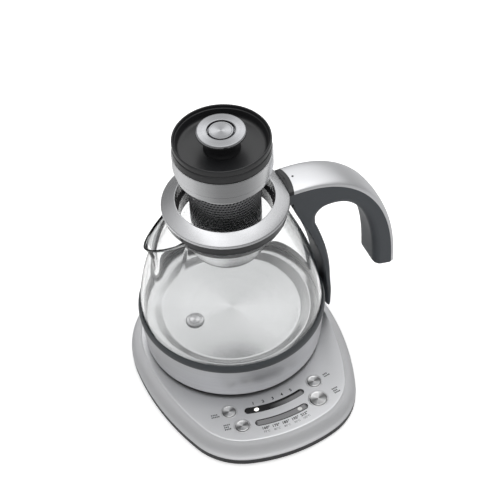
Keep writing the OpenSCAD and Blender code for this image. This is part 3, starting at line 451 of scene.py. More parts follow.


# finishes; the turned steels carry painted reflection wedges in their colour, as strong as their sheen
frontSteel = brushedSteel(
    "satinPanelSteel", (0.74, 0.745, 0.76), 0.42, lines=3.5, contrast=0.07, depth=0.003)
skirtSteel = turnedSteel(
    "brushedSkirtSteel", (0.62, 0.625, 0.64), 0.38, lines=3.0, contrast=0.12, sheen=0.12, wedges=3.0,
    turn=0.6)
ringSteel = turnedSteel(
    "spunCollarSteel", (0.66, 0.665, 0.68), 0.27, contrast=0.05, depth=0.0003, sheen=0.3,
    turn=radians(-60))
# painted reflection: strong wedges stand in for the band's bright and dark streaks
bandSteel = turnedSteel(
    "brushedBandSteel", (0.62, 0.625, 0.635), 0.24, contrast=0.14, sheen=0.55, wedges=3.0, turn=2.2)
drawnSteel = turnedSteel(
    "drawnSteel", (0.60, 0.605, 0.61), 0.25, lines=2.0, sheen=0.3, wedges=3.0, turn=1.0)
floorSteel = turnedSteel(
    "heaterFloorSteel", (0.66, 0.665, 0.67), 0.22, lines=2.2, contrast=0.06, depth=0.001, sheen=0.12,
    turn=1.3, aniso=0.4)
# painted shade: the mesh's steel is darker than the basket's other steel, for the shade it sits in
meshSteelPaintedShade = turnedSteel("etchedMeshSteel", (0.30, 0.30, 0.31), 0.36, sheen=0.1, aniso=0.0)
capSteel = brushedSteel("brushedCapSteel", (0.66, 0.665, 0.68), 0.42, lines=4.0, contrast=0.1)
trimSteel = turnedSteel(
    "polishedTrimSteel", (0.86, 0.86, 0.87), 0.3, lines=3.0, contrast=0.04, sheen=0.1, aniso=0.3)
gripPlastic = moulded("satinGripPlastic", (0.052, 0.060, 0.070), 0.42, pits=3.0, contrast=0.15, depth=0.012)
lidPlastic = moulded("blackLidPlastic", (0.015, 0.0155, 0.017), 0.34, pits=3.0, depth=0.008)
collarPlastic = moulded("glossCollarPlastic", (0.016, 0.017, 0.019), 0.2, pits=2.0, depth=0.004)
rimPlastic = moulded("trayRimPlastic", (0.035, 0.036, 0.038), 0.42, pits=2.0, contrast=0.25, depth=0.008)
housingPlastic = moulded(
    "blackHousingPlastic", (0.012, 0.012, 0.013), 0.45, pits=2.0, contrast=0.25, depth=0.015)
sealSilicone = moulded("greySilicone", (0.048, 0.054, 0.060), 0.42, pits=1.5)
footRubber = moulded("footRubber", (0.012, 0.012, 0.012), 0.7, pits=1.5, contrast=0.3, depth=0.02)
boardGreen = moulded("boardGreen", (0.012, 0.085, 0.035), 0.35, pits=1.2, contrast=0.3, coat=0.3)
contactBrass = turnedSteel("contactBrass", (0.70, 0.52, 0.24), 0.25, lines=2.0, sheen=0.1, aniso=0.0)
castAluminium = brushedSteel(
    "castAluminium", (0.62, 0.63, 0.64), 0.45, lines=1.0, contrast=0.15, depth=0.01)
elementSteel = turnedSteel(
    "oxidisedTubeSteel", (0.20, 0.19, 0.19), 0.45, lines=1.0, contrast=0.3, sheen=0.1, aniso=0.0)
leadSleeve = moulded("leadSleeve", (0.11, 0.04, 0.015), 0.45, pits=1.0, depth=0.005)
relayBlue = moulded("relayBlue", (0.012, 0.05, 0.24), 0.3, pits=1.5, contrast=0.1, depth=0.005)
screwSteel = brushedSteel("platedScrewSteel", (0.52, 0.52, 0.52), 0.35, lines=2.0, contrast=0.1)
lampWhite = moulded("lampWhite", (0.75, 0.73, 0.66), 0.2, pits=1.5, contrast=0.05, depth=0.002)
markInk = moulded("printedMarkInk", (0.02, 0.021, 0.023), 0.55, pits=4.0, depth=0.001)
labelInk = moulded("paleMarkInk", (0.11, 0.113, 0.118), 0.55, pits=4.0, depth=0.001)
litLens = glowing("litLens", (1.0, 0.98, 0.94), 1.1)
dimLens = glowing("dimLens", (0.55, 0.55, 0.54), 0.35)
jugGlass = clearGlass()
print("finishes ready:", len(bpy.data.materials))

# base cover: an outline of four kinds of arc, swept up a cove and a soft edge
cover = {"foot": 6.5, "lip": 1.2, "apron": 8.4, "edge": 1.2, "hollow": 1.35, "wall": 1.6, "dish": 62.0,
         "timeRow": 87.0, "timeSweep": 15.0, "heatRow": 100.3, "heatSweep": 11.2, "windowWidth": 6.2,
         "bezel": 1.3, "buttons": [
             ("button_left_inner", "left_inner_button", 87.0, -25.0, 5.2),
             ("button_left_outer", "left_outer_button", 101.5, -18.8, 5.2),
             ("button_right_inner", "right_inner_button", 87.0, 25.0, 5.2),
             ("start_button", "right_outer_button", 101.5, 18.8, 6.7)]}
# the windows' strips carry painted shade at their margins and a painted reflection along the arc
timeGloss = smokedWindow(
    "smokedTimeWindow", cover["timeRow"], cover["timeSweep"], (1.2, 2.3), (-4.0, 9.0), 0.22)
heatGloss = smokedWindow(
    "smokedHeatWindow", cover["heatRow"], cover["heatSweep"], (0.1, 2.4), (-30.0, -29.0), 0.26)
for material, dressed in (
        (housingPlastic, ("base_tray", "seat_dish", "base_connector", "tact_switches", "light_shield",
                          "buzzer", "cord_gland", "jug_connector", "jug_foot")),
        (screwSteel, ("base_screws", "board_screws", "foot_screws", "handle_screws", "handle_foot_screw")),
        (contactBrass, ("base_contacts", "jug_contacts")), (boardGreen, ("control_board", "power_board")),
        (sealSilicone, ("neck_gasket", "lid_seal")), (footRubber, ("rubber_feet",)),
        (lampWhite, ("indicator_leds",)), (relayBlue, ("power_relay",)), (timeGloss, ("time_window",)),
        (heatGloss, ("heat_window",)), (leadSleeve, ("supply_leads",)), (castAluminium, ("heat_spreader",)),
        (elementSteel, ("heating_element",)), (collarPlastic, ("collar_body",))):
    for node in dressed:
        for place in nodes[node].material_slots:
            place.material = material


def outline(inset):
    sideReach = tea["sideRadius"] - tea["backRadius"]
    cornerReach = tea["frontRadius"] - tea["cornerRadius"]
    cornerSide = tea["sideRadius"] - tea["cornerRadius"]
    along = (cornerReach ** 2 - cornerSide ** 2 + sideReach ** 2) / (2 * sideReach)
    off = sqrt(cornerReach ** 2 - along ** 2)
    lean = Vector((-cosOf(tea["sideStart"]), -sinOf(tea["sideStart"])))
    sideCentre = lean * sideReach
    cornerCentre = lean * along + Vector((-lean.y, lean.x)) * off
    sideEnd = degrees(atan2(cornerCentre.y - sideCentre.y, cornerCentre.x - sideCentre.x))
    frontEnd = degrees(atan2(cornerCentre.y, cornerCentre.x))
    right = (arcPoints((0, 0), tea["frontRadius"] - inset, -90, frontEnd, 20)
             + arcPoints(cornerCentre, tea["cornerRadius"] - inset, frontEnd, sideEnd, 28)
             + arcPoints(sideCentre, tea["sideRadius"] - inset, sideEnd, tea["sideStart"], 12)
             + arcPoints((0, 0), tea["backRadius"] - inset, tea["sideStart"], 90, 40))
    return right + [Vector((0, tea["backRadius"] - inset))] + [Vector((-p.x, p.y)) for p in right[:0:-1]]


def slotOutline(radius, sweep, width):
    half = width / 2
    ends = [onPanel(radius, s * sweep) for s in (1, -1)]
    return (arcPoints((0, 0), radius + half, -90 - sweep, -90 + sweep, 28)
            + arcPoints(ends[0], half, -90 + sweep, 90 + sweep, 14)
            + arcPoints((0, 0), radius - half, -90 + sweep, -90 - sweep, 28)
            + arcPoints(ends[1], half, 90 - sweep, 270 - sweep, 14))


def coverSteps():
    foot, edge, apron, power = cover["foot"], cover["edge"], cover["apron"], 2 / cover["hollow"]
    coveTop, coveLow = top - edge, foot + cover["lip"]
    steps = [(0.35, foot), (0, foot + 0.35), (0, coveLow - 0.25), (0.3, coveLow)]
    steps += [(apron * cosOf(a) ** power, coveTop - (coveTop - coveLow) * sinOf(a) ** power)
              for a in range(80, 19, -6)]
    steps += [(apron + edge * (1 - cosOf(a)), coveTop + edge * sinOf(a)) for a in range(0, 91, 15)]
    return steps + [(apron + edge + 0.5, top)]


bm = bmesh.new()
top = tea["baseTop"]
(inset, height), *steps = coverSteps()
ring = firstRing(bm, [(p.x, p.y, height) for p in outline(inset)])
for inset, height in steps:
    ring = grown(bm, ring, [(p.x, p.y, height) for p in outline(inset)])
rims = loopEdges(bm, ring)
holes = [arcPoints((0, 0), cover["dish"], 0, 360, 160),
         slotOutline(cover["timeRow"], cover["timeSweep"], cover["windowWidth"]),
         slotOutline(cover["heatRow"], cover["heatSweep"], cover["windowWidth"])]
holes += [arcPoints(onPanel(row, angle), size + cover["bezel"] + 0.1, 0, 360, 48)
          for node, body, row, angle, size in cover["buttons"]]
for hole in holes:
    rims += loopEdges(bm, firstRing(bm, [(p.x, p.y, top) for p in hole]))
bmesh.ops.triangle_fill(bm, use_beauty=True, edges=rims, normal=(0, 0, 1))
coverPiece = finished("baseCoverShell", bm, "base", frontSteel, ("base_cover",), 40)
walled(coverPiece, cover["wall"]).use_even_offset = True
# the edges of the sheet stay crisp when it gets its thickness
bm = bmesh.new()
bm.from_mesh(coverPiece.data)
for e in bm.edges:
    e.smooth = e.smooth and not e.is_boundary
bm.to_mesh(coverPiece.data)
bm.free()
evened(coverPiece)

# smooth dark rim of the tray, round the moulded one: (inset, height)
trayRim = [(0.62, 1.3), (0.55, 1.3), (0.28, 1.7), (0.22, 6.2), (0.4, 6.4), (0.62, 6.4)]
bm = bmesh.new()
lofted(bm, [[(p.x, p.y, height) for p in outline(inset)] for inset, height in trayRim], capped=False)
finished("trayRim", bm, "base", rimPlastic, (), 40)
print("base cover done")

# buttons, and the bright rings round them
button = {"proud": 0.9, "foot": 11.5, "pin": 1.5, "hubFoot": 13.3, "hub": 2.6, "stopFoot": 15.8,
          "stopTop": 17.0, "stopOut": 1.0, "rimDrop": 0.3, "rimIn": 0.45, "stepIn": 0.8, "step": 0.12,
          "hollow": 0.25}
bezel = {"clear": 0.3, "foot": 17.3, "lipTop": 18.3, "lip": 0.8, "proud": 0.2, "chamfer": 0.25}
bezels = bmesh.new()
face = top + button["proud"]
for node, body, row, angle, size in cover["buttons"]:
    place, stop = onPanel(row, angle), size + button["stopOut"]
    # painted reflection: strong light and dark wedges in the button's colour
    spun = turnedSteel(
        "spunButton" + node.title().replace("_", ""), (0.94, 0.945, 0.95), 0.3, lines=3.0, contrast=0.06,
        depth=0.001, sheen=0.8, turn=radians(166), tightness=1.0, centre=place)
    turnedPiece(node + "Spun", [
        (0, button["foot"]), (button["pin"], button["foot"]), (button["pin"], button["hubFoot"]),
        (button["hub"], button["hubFoot"]), (button["hub"], button["stopFoot"]),
        (stop, button["stopFoot"]), (stop, button["stopTop"]), (size, button["stopTop"]),
        (size, face - button["rimDrop"], 0.2), (size - button["rimIn"], face, 0.15),
        (size - button["stepIn"], face - button["step"], 0.1), (0, face - button["hollow"])],
        body, spun, (node,), 64, place)
    inner, outer, crest = size + bezel["clear"], size + cover["bezel"], top + bezel["proud"]
    lip = outer + bezel["lip"]
    spinProfile(bezels, [
        (inner, bezel["foot"]), (lip, bezel["foot"]), (lip, bezel["lipTop"]), (outer, bezel["lipTop"]),
        (outer, top, 0.05), (outer - bezel["chamfer"], crest, 0.1), (inner, crest, 0.15)], 64, place)
finished("buttonBezels", bezels, "base", trimSteel, ("button_bezels",))
print("buttons done")

# printed marks on the panel: rows of words by height, radius and boldness, and rows of small plain blocks
marks = {"numbers": (2.7, 80.6, 0.05), "numberSweep": 11.6, "heats": (2.5, 106.4, 0.045),
         "lowerHeats": (1.9, 109.9, 0.0), "heatSweep": 8.9, "lift": 0.02, "thick": 0.03,
         "labels": [(92.0, -31.7, 2, 5), (102.0, -25.4, 3, 4), (90.6, 32.5, 2, 4), (106.0, 27.6, 3, 4)],
         "block": (1.0, 1.25), "blockGap": 0.35, "rowGap": 2.1}
markZ = top + marks["lift"]


def writing(bm, words, sweep, kind):
    height, radius, weight = marks[kind]
    for i, word in enumerate(words):
        curve = bpy.data.curves.new("word", "FONT")
        curve.body = word
        curve.size = height * 1.35 * mm
        curve.align_x = curve.align_y = "CENTER"
        curve.extrude = marks["thick"] * mm
        curve.offset = weight * height * mm
        curve.resolution_u = 3
        holder = linked("word", curve)
        mesh = bpy.data.meshes.new_from_object(holder)
        angle = sweep * (i / 2 - 1)
        place = onPanel(radius, angle)
        mesh.transform(Matrix.Translation((place.x * mm, place.y * mm, markZ * mm))
                       @ Matrix.Rotation(radians(angle), 4, "Z"))
        bm.from_mesh(mesh)
        bpy.data.objects.remove(holder)
        bpy.data.curves.remove(curve)
        bpy.data.meshes.remove(mesh)


bm = bmesh.new()
writing(bm, ("1", "2", "3", "4", "5"), marks["numberSweep"], "numbers")
heats = [heat + "\u00b0" for heat in ("160", "175", "185", "195", "212")]
writing(bm, heats, marks["heatSweep"], "heats")
finished("panelMarks", bm, "base", markInk, turnOut=False)
bm = bmesh.new()
heats = [heat + "\u00b0C" for heat in ("70", "80", "85", "90", "100")]
writing(bm, heats, marks["heatSweep"], "lowerHeats")
wide, tall = marks["block"]
for radius, angle, rows, count in marks["labels"]:
    turned, place = aboutZ(angle * 0.3), onPanel(radius, angle)
    for row in range(rows):
        for column in range(count - row % 2):
            offset = turned @ Vector(((column - (count - 1) / 2) * (wide + marks["blockGap"]),
                                      (row - (rows - 1) / 2) * marks["rowGap"], 0))
            middle = (place.x + offset.x, place.y + offset.y, markZ)
            addBox(bm, (wide, tall, 2 * marks["thick"]), middle, turned)
finished("panelLabels", bm, "base", labelInk, turnOut=False)

lamps = {"length": 3.8, "width": 3.4, "thick": 0.24, "sink": 0.08,
         "places": (("litTimeLamp", cover["timeRow"], -10.6, litLens),
                    ("litHeatLamp", cover["heatRow"], 8.8, dimLens))}
for name, radius, angle, lens in lamps["places"]:
    bm = bmesh.new()
    place = onPanel(radius, angle)
    disc = bmesh.ops.create_uvsphere(bm, u_segments=24, v_segments=8, radius=0.5)["verts"]
    bmesh.ops.scale(bm, verts=disc, vec=Vector((lamps["length"], lamps["width"], lamps["thick"])) * mm)
    bmesh.ops.translate(bm, verts=disc, vec=Vector((place.x, place.y, top - lamps["sink"])) * mm)
    finished(name, bm, "base", lens)
print("marks done")

# jug: skirt, seal, heater floor and sensor
skirt = {"lowRadius": 71.9, "topRadius": 75.0, "wall": 1.0, "hem": 1.6}
low, high, foot, brim = tea["skirtFoot"], tea["skirtTop"], skirt["lowRadius"], skirt["topRadius"]
turnedPiece("jugSkirtShell", [
    (foot - 1.3, low, 0.2), (foot - 0.2, low, 0.5), (foot + 0.1, low + 1.2, 0.4), (brim, high - 0.3, 0.25),
    (brim - 0.35, high, 0.15), (brim - skirt["wall"], high), (foot - skirt["wall"], low + skirt["hem"])],
    "jug", skirtSteel, ("jug_skirt",), 192)

seal = {"proud": 0.6, "inside": 69.7, "foot": 52.4, "tongueFoot": 71.4, "tongueTop": 71.6, "cup": 73.6,
        "seat": 54.6}
outside, sealTop = brim + seal["proud"], tea["sealTop"]
turnedPiece("jugSealBand", [
    (seal["inside"], seal["foot"]), (seal["tongueFoot"], seal["foot"]), (seal["tongueTop"], high + 0.1),
    (outside - 0.5, high + 0.1, 0.3), (outside - 0.1, high + 1.6, 0.8), (outside, high + 3.6, 1.2),
    (outside - 0.5, sealTop - 1.5, 1.2), (outside - 1.3, sealTop, 0.5), (seal["cup"], sealTop, 0.1),
    (seal["cup"], seal["seat"]), (seal["inside"], seal["seat"])],
    "jug", sealSilicone, ("jug_seal",), 192)

plate = {"radius": 55.5, "rampFoot": 57.0, "rampTop": 63.6, "edge": 70.0, "floor": 47.3, "flange": 52.3,
         "sheet": 1.2}
floorZ, flangeZ = plate["floor"], plate["flange"]
floorUnder, flangeUnder = floorZ - plate["sheet"], flangeZ - plate["sheet"]
turnedPiece("heaterFloor", [
    (0, floorUnder), (plate["radius"], floorUnder, 1.0), (plate["rampFoot"] + 0.8, floorZ - 0.4, 0.5),
    (plate["rampTop"], flangeUnder, 0.5), (plate["edge"], flangeUnder), (plate["edge"], flangeZ),
    (plate["rampTop"] + 0.1, flangeZ, 0.8), (plate["rampTop"] - 1.2, flangeZ - 0.7, 1.2),
    (plate["rampFoot"], floorZ + 0.7, 1.6), (plate["radius"] - 0.5, floorZ, 1.2), (0, floorZ)],
    "jug", floorSteel, ("heater_plate",), 160)

sensor = {"place": (-33.0, -1.5), "radius": 7.5, "stem": 3.0, "stemFoot": 38.0}
# painted reflection wedges in the cap's colour
sensorSteel = turnedSteel(
    "sensorCapSteel", (0.62, 0.62, 0.63), 0.25, contrast=0.12, sheen=0.35, turn=1.0,
    centre=sensor["place"])
capR, capFoot = sensor["radius"], floorZ + 0.1
turnedPiece("sensorCap", [
    (0, sensor["stemFoot"]), (sensor["stem"], sensor["stemFoot"]), (sensor["stem"], capFoot),
    (capR, capFoot), (capR, floorZ + 1.0, 0.35), (capR - 0.9, floorZ + 1.7, 0.4),
    (capR - 1.9, floorZ + 1.7, 0.2), (capR - 2.2, floorZ + 1.3, 0.15), (capR - 2.9, floorZ + 1.3, 0.15),
    (capR - 3.3, floorZ + 1.85, 0.25), (0, floorZ + 1.9)],
    "jug", sensorSteel, ("temperature_sensor",), 96, sensor["place"])
print("jug foot done")

# glass: blown body with a pulled spout
glass = {"footRadius": 73.5, "neckRadius": 45.5, "height": 105.2, "straight": 3.0, "roundness": 1.4,
         "wall": 2.4, "reach": 20.0, "drop": 13.0, "halfSweep": 27.0, "start": 0.58, "tipRound": 0.17,
         "rimShare": 0.011, "columns": 216, "rows": 44}


def glassRadius(height):
    u = min(1.0, max(0.0, (height - tea["glassFoot"]) / (glass["height"] - glass["straight"])))
    neck = glass["neckRadius"]
    return neck + (glass["footRadius"] - neck) * (1 - u * u) ** glass["roundness"]


def spoutShare(angle):
    x, soft = abs(angle - 180) / glass["halfSweep"], glass["tipRound"]
    return max(0.0, 1 - (sqrt(x * x + soft * soft) - soft) / (sqrt(1 + soft * soft) - soft))


def glassPlace(angle, share, inward, lower):
    s = spoutShare(angle)
    height = tea["glassFoot"] + (glass["height"] - glass["drop"] * s) * share
    pulled = max(0.0, (share - glass["start"]) / (1 - glass["start"]))
    radius = glassRadius(height) + glass["reach"] * s ** 1.15 * pulled ** 1.7 - inward
    return (radius * cosOf(angle), radius * sinOf(angle), height - lower)


def glassRow(share, inward, lower=0.0):
    return [glassPlace(360 * i / glass["columns"], share, inward, lower) for i in range(glass["columns"])]


bm = bmesh.new()
bead = glass["wall"] / 2
shares = [(i / glass["rows"]) * (1 - glass["rimShare"]) for i in range(glass["rows"] + 1)]
rows = [glassRow(share, 0) for share in shares]
rows += [glassRow(1.0, bead * (1 - cosOf(a)), bead * (1 - sinOf(a)))
         for a in (22, 45, 68, 90, 112, 135, 158)]
rows += [glassRow(share, glass["wall"]) for share in reversed(shares)]
lofted(bm, rows, capped=False)
finished("jugGlassBody", bm, "jug", jugGlass, ("jug_glass",), 60)
print("glass done")

# steel collar, and the dots that show how the lid and the jug line up
collar = {"wall": 1.3, "hem": 2.2, "hemWall": 0.9}
edge, crest, r0, r1 = tea["collarEdge"], tea["collarTop"], tea["mouthRadius"], tea["collarRadius"]
rise = (crest - edge) / (r1 - r0)
hemIn, hemFoot = r1 - collar["hemWall"], edge - collar["hem"]
turnedPiece("collarRingSpun", [
    (r0, crest - collar["wall"]), (hemIn, edge - collar["wall"] + rise * collar["hemWall"]),
    (hemIn, hemFoot), (r1 - 0.1, hemFoot, 0.2), (r1, edge, 0.9), (r0 + 0.35, crest - 0.1, 0.45),
    (r0, crest - 0.5, 0.2)],
    "jug", ringSteel, ("collar_ring",), 192)

dots = {"radius": 0.85, "thick": 0.3, "proud": 0.17, "onRing": 46.6, "ringTurn": 3.4, "onCap": 55.9,
        "capTop": 171.36}
bm = bmesh.new()
for radius, angle, height, tilt in (
        (dots["onRing"], dots["ringTurn"], edge + rise * (r1 - dots["onRing"]), atan2(rise, 1)),
        (dots["onCap"], 0.0, dots["capTop"], 0.0)):
    dot = bmesh.ops.create_cone(bm, cap_ends=True, segments=24, radius1=dots["radius"] * mm,
                                radius2=dots["radius"] * mm, depth=dots["thick"] * mm)["verts"]
    middle = height + dots["proud"] - dots["thick"] / 2
    bmesh.ops.rotate(bm, verts=dot, cent=(0, 0, 0), matrix=Matrix.Rotation(tilt, 3, "Y"))
    bmesh.ops.translate(bm, verts=dot, vec=(radius * mm, 0, middle * mm))
    bmesh.ops.rotate(bm, verts=dot, cent=(0, 0, 0), matrix=aboutZ(angle))
finished("alignmentDots", bm, "jug", markInk)
print("collar done")

# handle: a grip and a stem in one moulding, with a crowned metal cap
grip = {"width": 30.0, "reach": 136.3, "top": 166.9, "depth": 15.0, "roof": 140.9, "end": 52.5,
        "corner": 6.4, "capPower": 2.3, "archPower": 2.4, "gapX": 80.0, "gapRound": 10.0, "stemEnd": 25.0,
        "stemFoot": 3.6, "stemTop": 10.0, "stemGap": 3.2, "stemLeast": 76.2, "round": 6.0, "crown": 4.5,
        "strip": 3.5, "fit": 0.12, "bridgeFoot": 157.0, "padAt": 76.75, "padHeight": 37.95,
        "padWide": 18.0, "padThick": 6.0, "padRound": 3.0}
bridgeX, gripFoot = tea["collarRadius"] + 3.5, grip["end"] + 4
stemAtSeal = max(glassRadius(sealTop) + grip["stemGap"], grip["stemLeast"])


def squircle(cx, cz, a, b, power, angle):
    turn, share = radians(angle), 2 / power
    return Vector((cx + a * cos(turn) ** share, cz + b * sin(turn) ** share))


# outer line of the grip and the bridge, from the collar to the grip's end
def spine():
    across, tall = grip["reach"] - bridgeX, grip["top"] - gripFoot
    line = [squircle(bridgeX, gripFoot, across, tall, grip["capPower"], a)
            for a in [89.2, 88] + [86 - 2 * i for i in range(43)]]
    return line + [Vector((grip["reach"], grip["end"] + 1.5))]


def stemIn(z):
    if z > sealTop:
        return glassRadius(z) + stemAtSeal - glassRadius(sealTop)
    return stemAtSeal + min(2, (sealTop - z) * 0.11)


def stemOut(z):
    share = max(0, z - tea["skirtFoot"]) / (grip["roof"] - grip["gapRound"] - tea["skirtFoot"])
    return stemIn(z) + grip["stemFoot"] + (grip["stemTop"] - grip["stemFoot"]) * share


# the moulding from the side: (x, z, share of the edge rounding that the place takes)
def sideView():
    outerX, innerX = grip["reach"], grip["reach"] - grip["depth"]
    end, corner = grip["end"], grip["corner"]
    gapX, gapRound, roof, stemEnd = grip["gapX"], grip["gapRound"], grip["roof"], grip["stemEnd"]
    startX, bridgeFoot, stemHigh = tea["collarRadius"] - 4, grip["bridgeFoot"], grip["roof"] - 16
    view = [(startX, grip["top"], 0)] + [(p.x, p.y, 0) for p in spine()]
    view += [(outerX - 0.4, end + 0.8, 0.05), (outerX - 1.0, end + 0.3, 0.1),
             (outerX - 0.3 * grip["depth"], end, 0.3)]
    view += [(innerX + corner * (1 + cosOf(a)), end + corner * (1 + sinOf(a)), -a / 170)
             for a in range(-90, -171, -10)]
    view += [(*squircle(gapX, gripFoot, innerX - gapX, roof - gripFoot, grip["archPower"], a), 1)
             for a in [3 * i + 3 for i in range(29)] + [90]]
    view += [(gapX + gapRound * cosOf(a), roof - gapRound + gapRound * sinOf(a), 1)
             for a in range(100, 181, 10)]
    for i in range(25):
        z = stemHigh - (stemHigh - stemEnd - 4) * i / 24
        view.append((stemOut(z), z, 0.75 - 0.45 * i / 24))
    view += [(stemIn(stemEnd) + t * grip["stemFoot"], stemEnd + h, 0.3)
             for t, h in ((0.92, 1.2), (0.7, 0), (0.3, 0), (0.08, 0.6))]
    for i in range(31):
        z = stemEnd + 2 + (bridgeFoot - 5 - stemEnd - 2) * i / 30
        view.append((stemIn(z), z, 0.2))
    return view + [(tea["collarRadius"] + 1, bridgeFoot, 0), (startX, bridgeFoot, 0)]


def drawnIn(view, distance):
    row = []
    for i, (x, z, share) in enumerate(view):
        a, b = view[i - 1], view[(i + 1) % len(view)]
        along = Vector((b[0] - a[0], b[1] - a[1])).normalized()
        row.append((x + distance * share * along.y, z - distance * share * along.x))
    return row


def handleRow(y, inset):
    hollow = sqrt((tea["collarRadius"] + grip["fit"]) ** 2 - y * y)
    return [(max(x, hollow) if z > grip["bridgeFoot"] - 2 else x, y, z) for x, z in drawnIn(view, inset)]


bm = bmesh.new()
view, halfWidth = sideView(), grip["width"] / 2
quarter = [(halfWidth - grip["round"] * (1 - sinOf(a)), grip["round"] * (1 - cosOf(a)))
           for a in range(90, -1, -10)]
rows = [handleRow(-y, inset) for y, inset in quarter]
lofted(bm, rows + [handleRow(y, inset) for y, inset in quarter[::-1]])
# pad that meets the skirt
pad = addBox(bm, (grip["padThick"], grip["padWide"], grip["padWide"]),
             (grip["padAt"], 0, grip["padHeight"]))
padEdges = [e for e in {e for v in pad for e in v.link_edges}
            if abs((e.verts[0].co - e.verts[1].co).normalized().x) > 0.9]
bmesh.ops.bevel(bm, geom=padEdges, offset=grip["padRound"] * mm, segments=5, profile=0.5, affect="EDGES",
                material=-1)
evened(finished("handleCoreShell", bm, "jug", gripPlastic, ("handle_core",), 50))


# a crowned strip as rows: its start sits on a cylinder about Z, and it ends on another or follows the spine
def crownedRows(halfWide, low, edgeHeight, startRadius, endRadius=None):
    section = [(halfWide, low), (halfWide, edgeHeight * 0.55), (halfWide - 0.35, edgeHeight)]
    crown = grip["crown"] - edgeHeight
    section += [(halfWide * cosOf(a) * 0.985, edgeHeight + crown * sinOf(a) ** 0.8)
                for a in range(8, 173, 6)]
    section += [(-halfWide + 0.35, edgeHeight), (-halfWide, edgeHeight * 0.55), (-halfWide, low)]

    def ringAt(radius):
        return [(sqrt(radius ** 2 - y * y), y, grip["top"] + h) for y, h in section]

    if endRadius:
        return [ringAt(startRadius), ringAt((startRadius + endRadius) / 2), ringAt(endRadius)]
    rows, line = [ringAt(startRadius)], [p for p in spine() if p.x > startRadius + 3]
    for i, p in enumerate(line):
        a, b = line[max(0, i - 1)], line[min(len(line) - 1, i + 1)]
        along = (b - a).normalized()
        rows.append([(p.x - along.y * h, y, p.y + along.x * h) for y, h in section])
    return rows


stripStart, capStart = tea["collarRadius"] + grip["fit"], tea["collarRadius"] + grip["strip"]
bm = bmesh.new()
lofted(bm, crownedRows(halfWidth - 0.15, -0.6, 0.9, stripStart, capStart - 0.1))
evened(finished("handleStrip", bm, "jug", lidPlastic, (), 50))
bm = bmesh.new()
lofted(bm, crownedRows(halfWidth, 0.05, 1.1, capStart))
evened(finished("handleCapShell", bm, "jug", capSteel, ("handle_cap",), 50))
print("handle done")

# tea basket: band, cylinder, perforated wall and cup
basket = {"band": 37.7, "step": 35.8, "inner": 34.9, "groove": 0.5, "radius": 27.5, "wall": 0.9,
          "skin": 0.4, "bandTop": 221.9, "shoulder": 207.7, "stepFoot": 201.2, "seam": 1.3,
          "meshTop": 192.2, "meshFoot": 156.2, "cupFoot": 122.2, "columns": 64, "rows": 14, "bar": 0.42}
s, c, shoulder, bandZ = basket, basket["stepFoot"], basket["shoulder"], basket["bandTop"]
stepR, bandR, innerR, bodyR = s["step"], s["band"], s["inner"], s["radius"]
meshTop, meshFoot, cupZ, insideR = s["meshTop"], s["meshFoot"], s["cupFoot"], s["radius"] - s["wall"]
turnedPiece("basketBandSpun", [
    (innerR, c + 1.4), (stepR - 0.3, c + 1.4), (stepR - 0.3, c), (stepR, c + 0.3, 0.12),
    (stepR, shoulder - 1.0, 0.15), (stepR - s["groove"], shoulder - 0.9, 0.1),
    (stepR - s["groove"], shoulder, 0.1), (bandR - 0.5, shoulder, 0.2), (bandR, shoulder + 0.5, 0.4),
    (bandR, bandZ - 0.5, 0.2), (bandR - 0.4, bandZ - 0.1, 0.1), (innerR, bandZ - 0.1)],
    "basket", bandSteel, ("basket_band",), 192)
turnedPiece("basketBodyDrawn", [
    (insideR, meshTop), (bodyR + 0.6, meshTop, 0.3), (bodyR + 0.6, meshTop + 1.1, 0.4),
    (bodyR, meshTop + 1.6, 0.3), (bodyR, c - 2.2, 0.9), (bodyR + 2.2, c, 0.9), (stepR - s["skin"], c),
    (stepR - s["skin"], c + s["seam"]), (bodyR + 1.4, c + s["seam"], 0.8), (insideR, c - 1.2, 0.8)],
    "basket", drawnSteel, ("basket_body",), 160)
turnedPiece("basketCupDrawn", [
    (0, cupZ), (bodyR - 1.4, cupZ, 1.2), (bodyR, cupZ + 1.8, 1.2), (bodyR, meshFoot - 0.1, 0.15),
    (insideR, meshFoot - 0.1, 0.15), (insideR, cupZ + 2.2, 1.0), (bodyR - 2.4, cupZ + 0.9, 0.8),
    (0, cupZ + 0.9)],
    "basket", drawnSteel, ("basket_cup",), 160)

# a flat grid of slanting holes, rolled up round the axis
bm = bmesh.new()
bmesh.ops.create_grid(bm, x_segments=s["columns"], y_segments=s["rows"], size=0.5)
cells = set(bmesh.ops.inset_individual(bm, faces=list(bm.faces), thickness=0.0001)["faces"])
columnWide, tall = tau * bodyR / s["columns"], meshTop - meshFoot - 0.1
narrowed, shortened = 1 - 2 * s["bar"] / columnWide, 1 - 2 * s["bar"] * s["rows"] / tall
holes = [f for f in bm.faces if f not in cells]
for f in holes:
    middle = f.calc_center_median()
    for v in f.verts:
        side = v.co - middle
        v.co = middle + Vector((side.x * narrowed, side.y * shortened, 0))
bmesh.ops.delete(bm, geom=holes, context="FACES_ONLY")
for v in bm.verts:
    angle = tau * (v.co.x + v.co.y * s["rows"] * 0.5 / s["columns"])
    v.co = Vector((bodyR * cos(angle), bodyR * sin(angle), meshFoot + tall * (v.co.y + 0.5))) * mm
mesh = finished("basketMeshPerforated", bm, "basket", meshSteelPaintedShade, ("basket_mesh",), 40)
walled(mesh, s["wall"] * 0.6)
print("basket done")

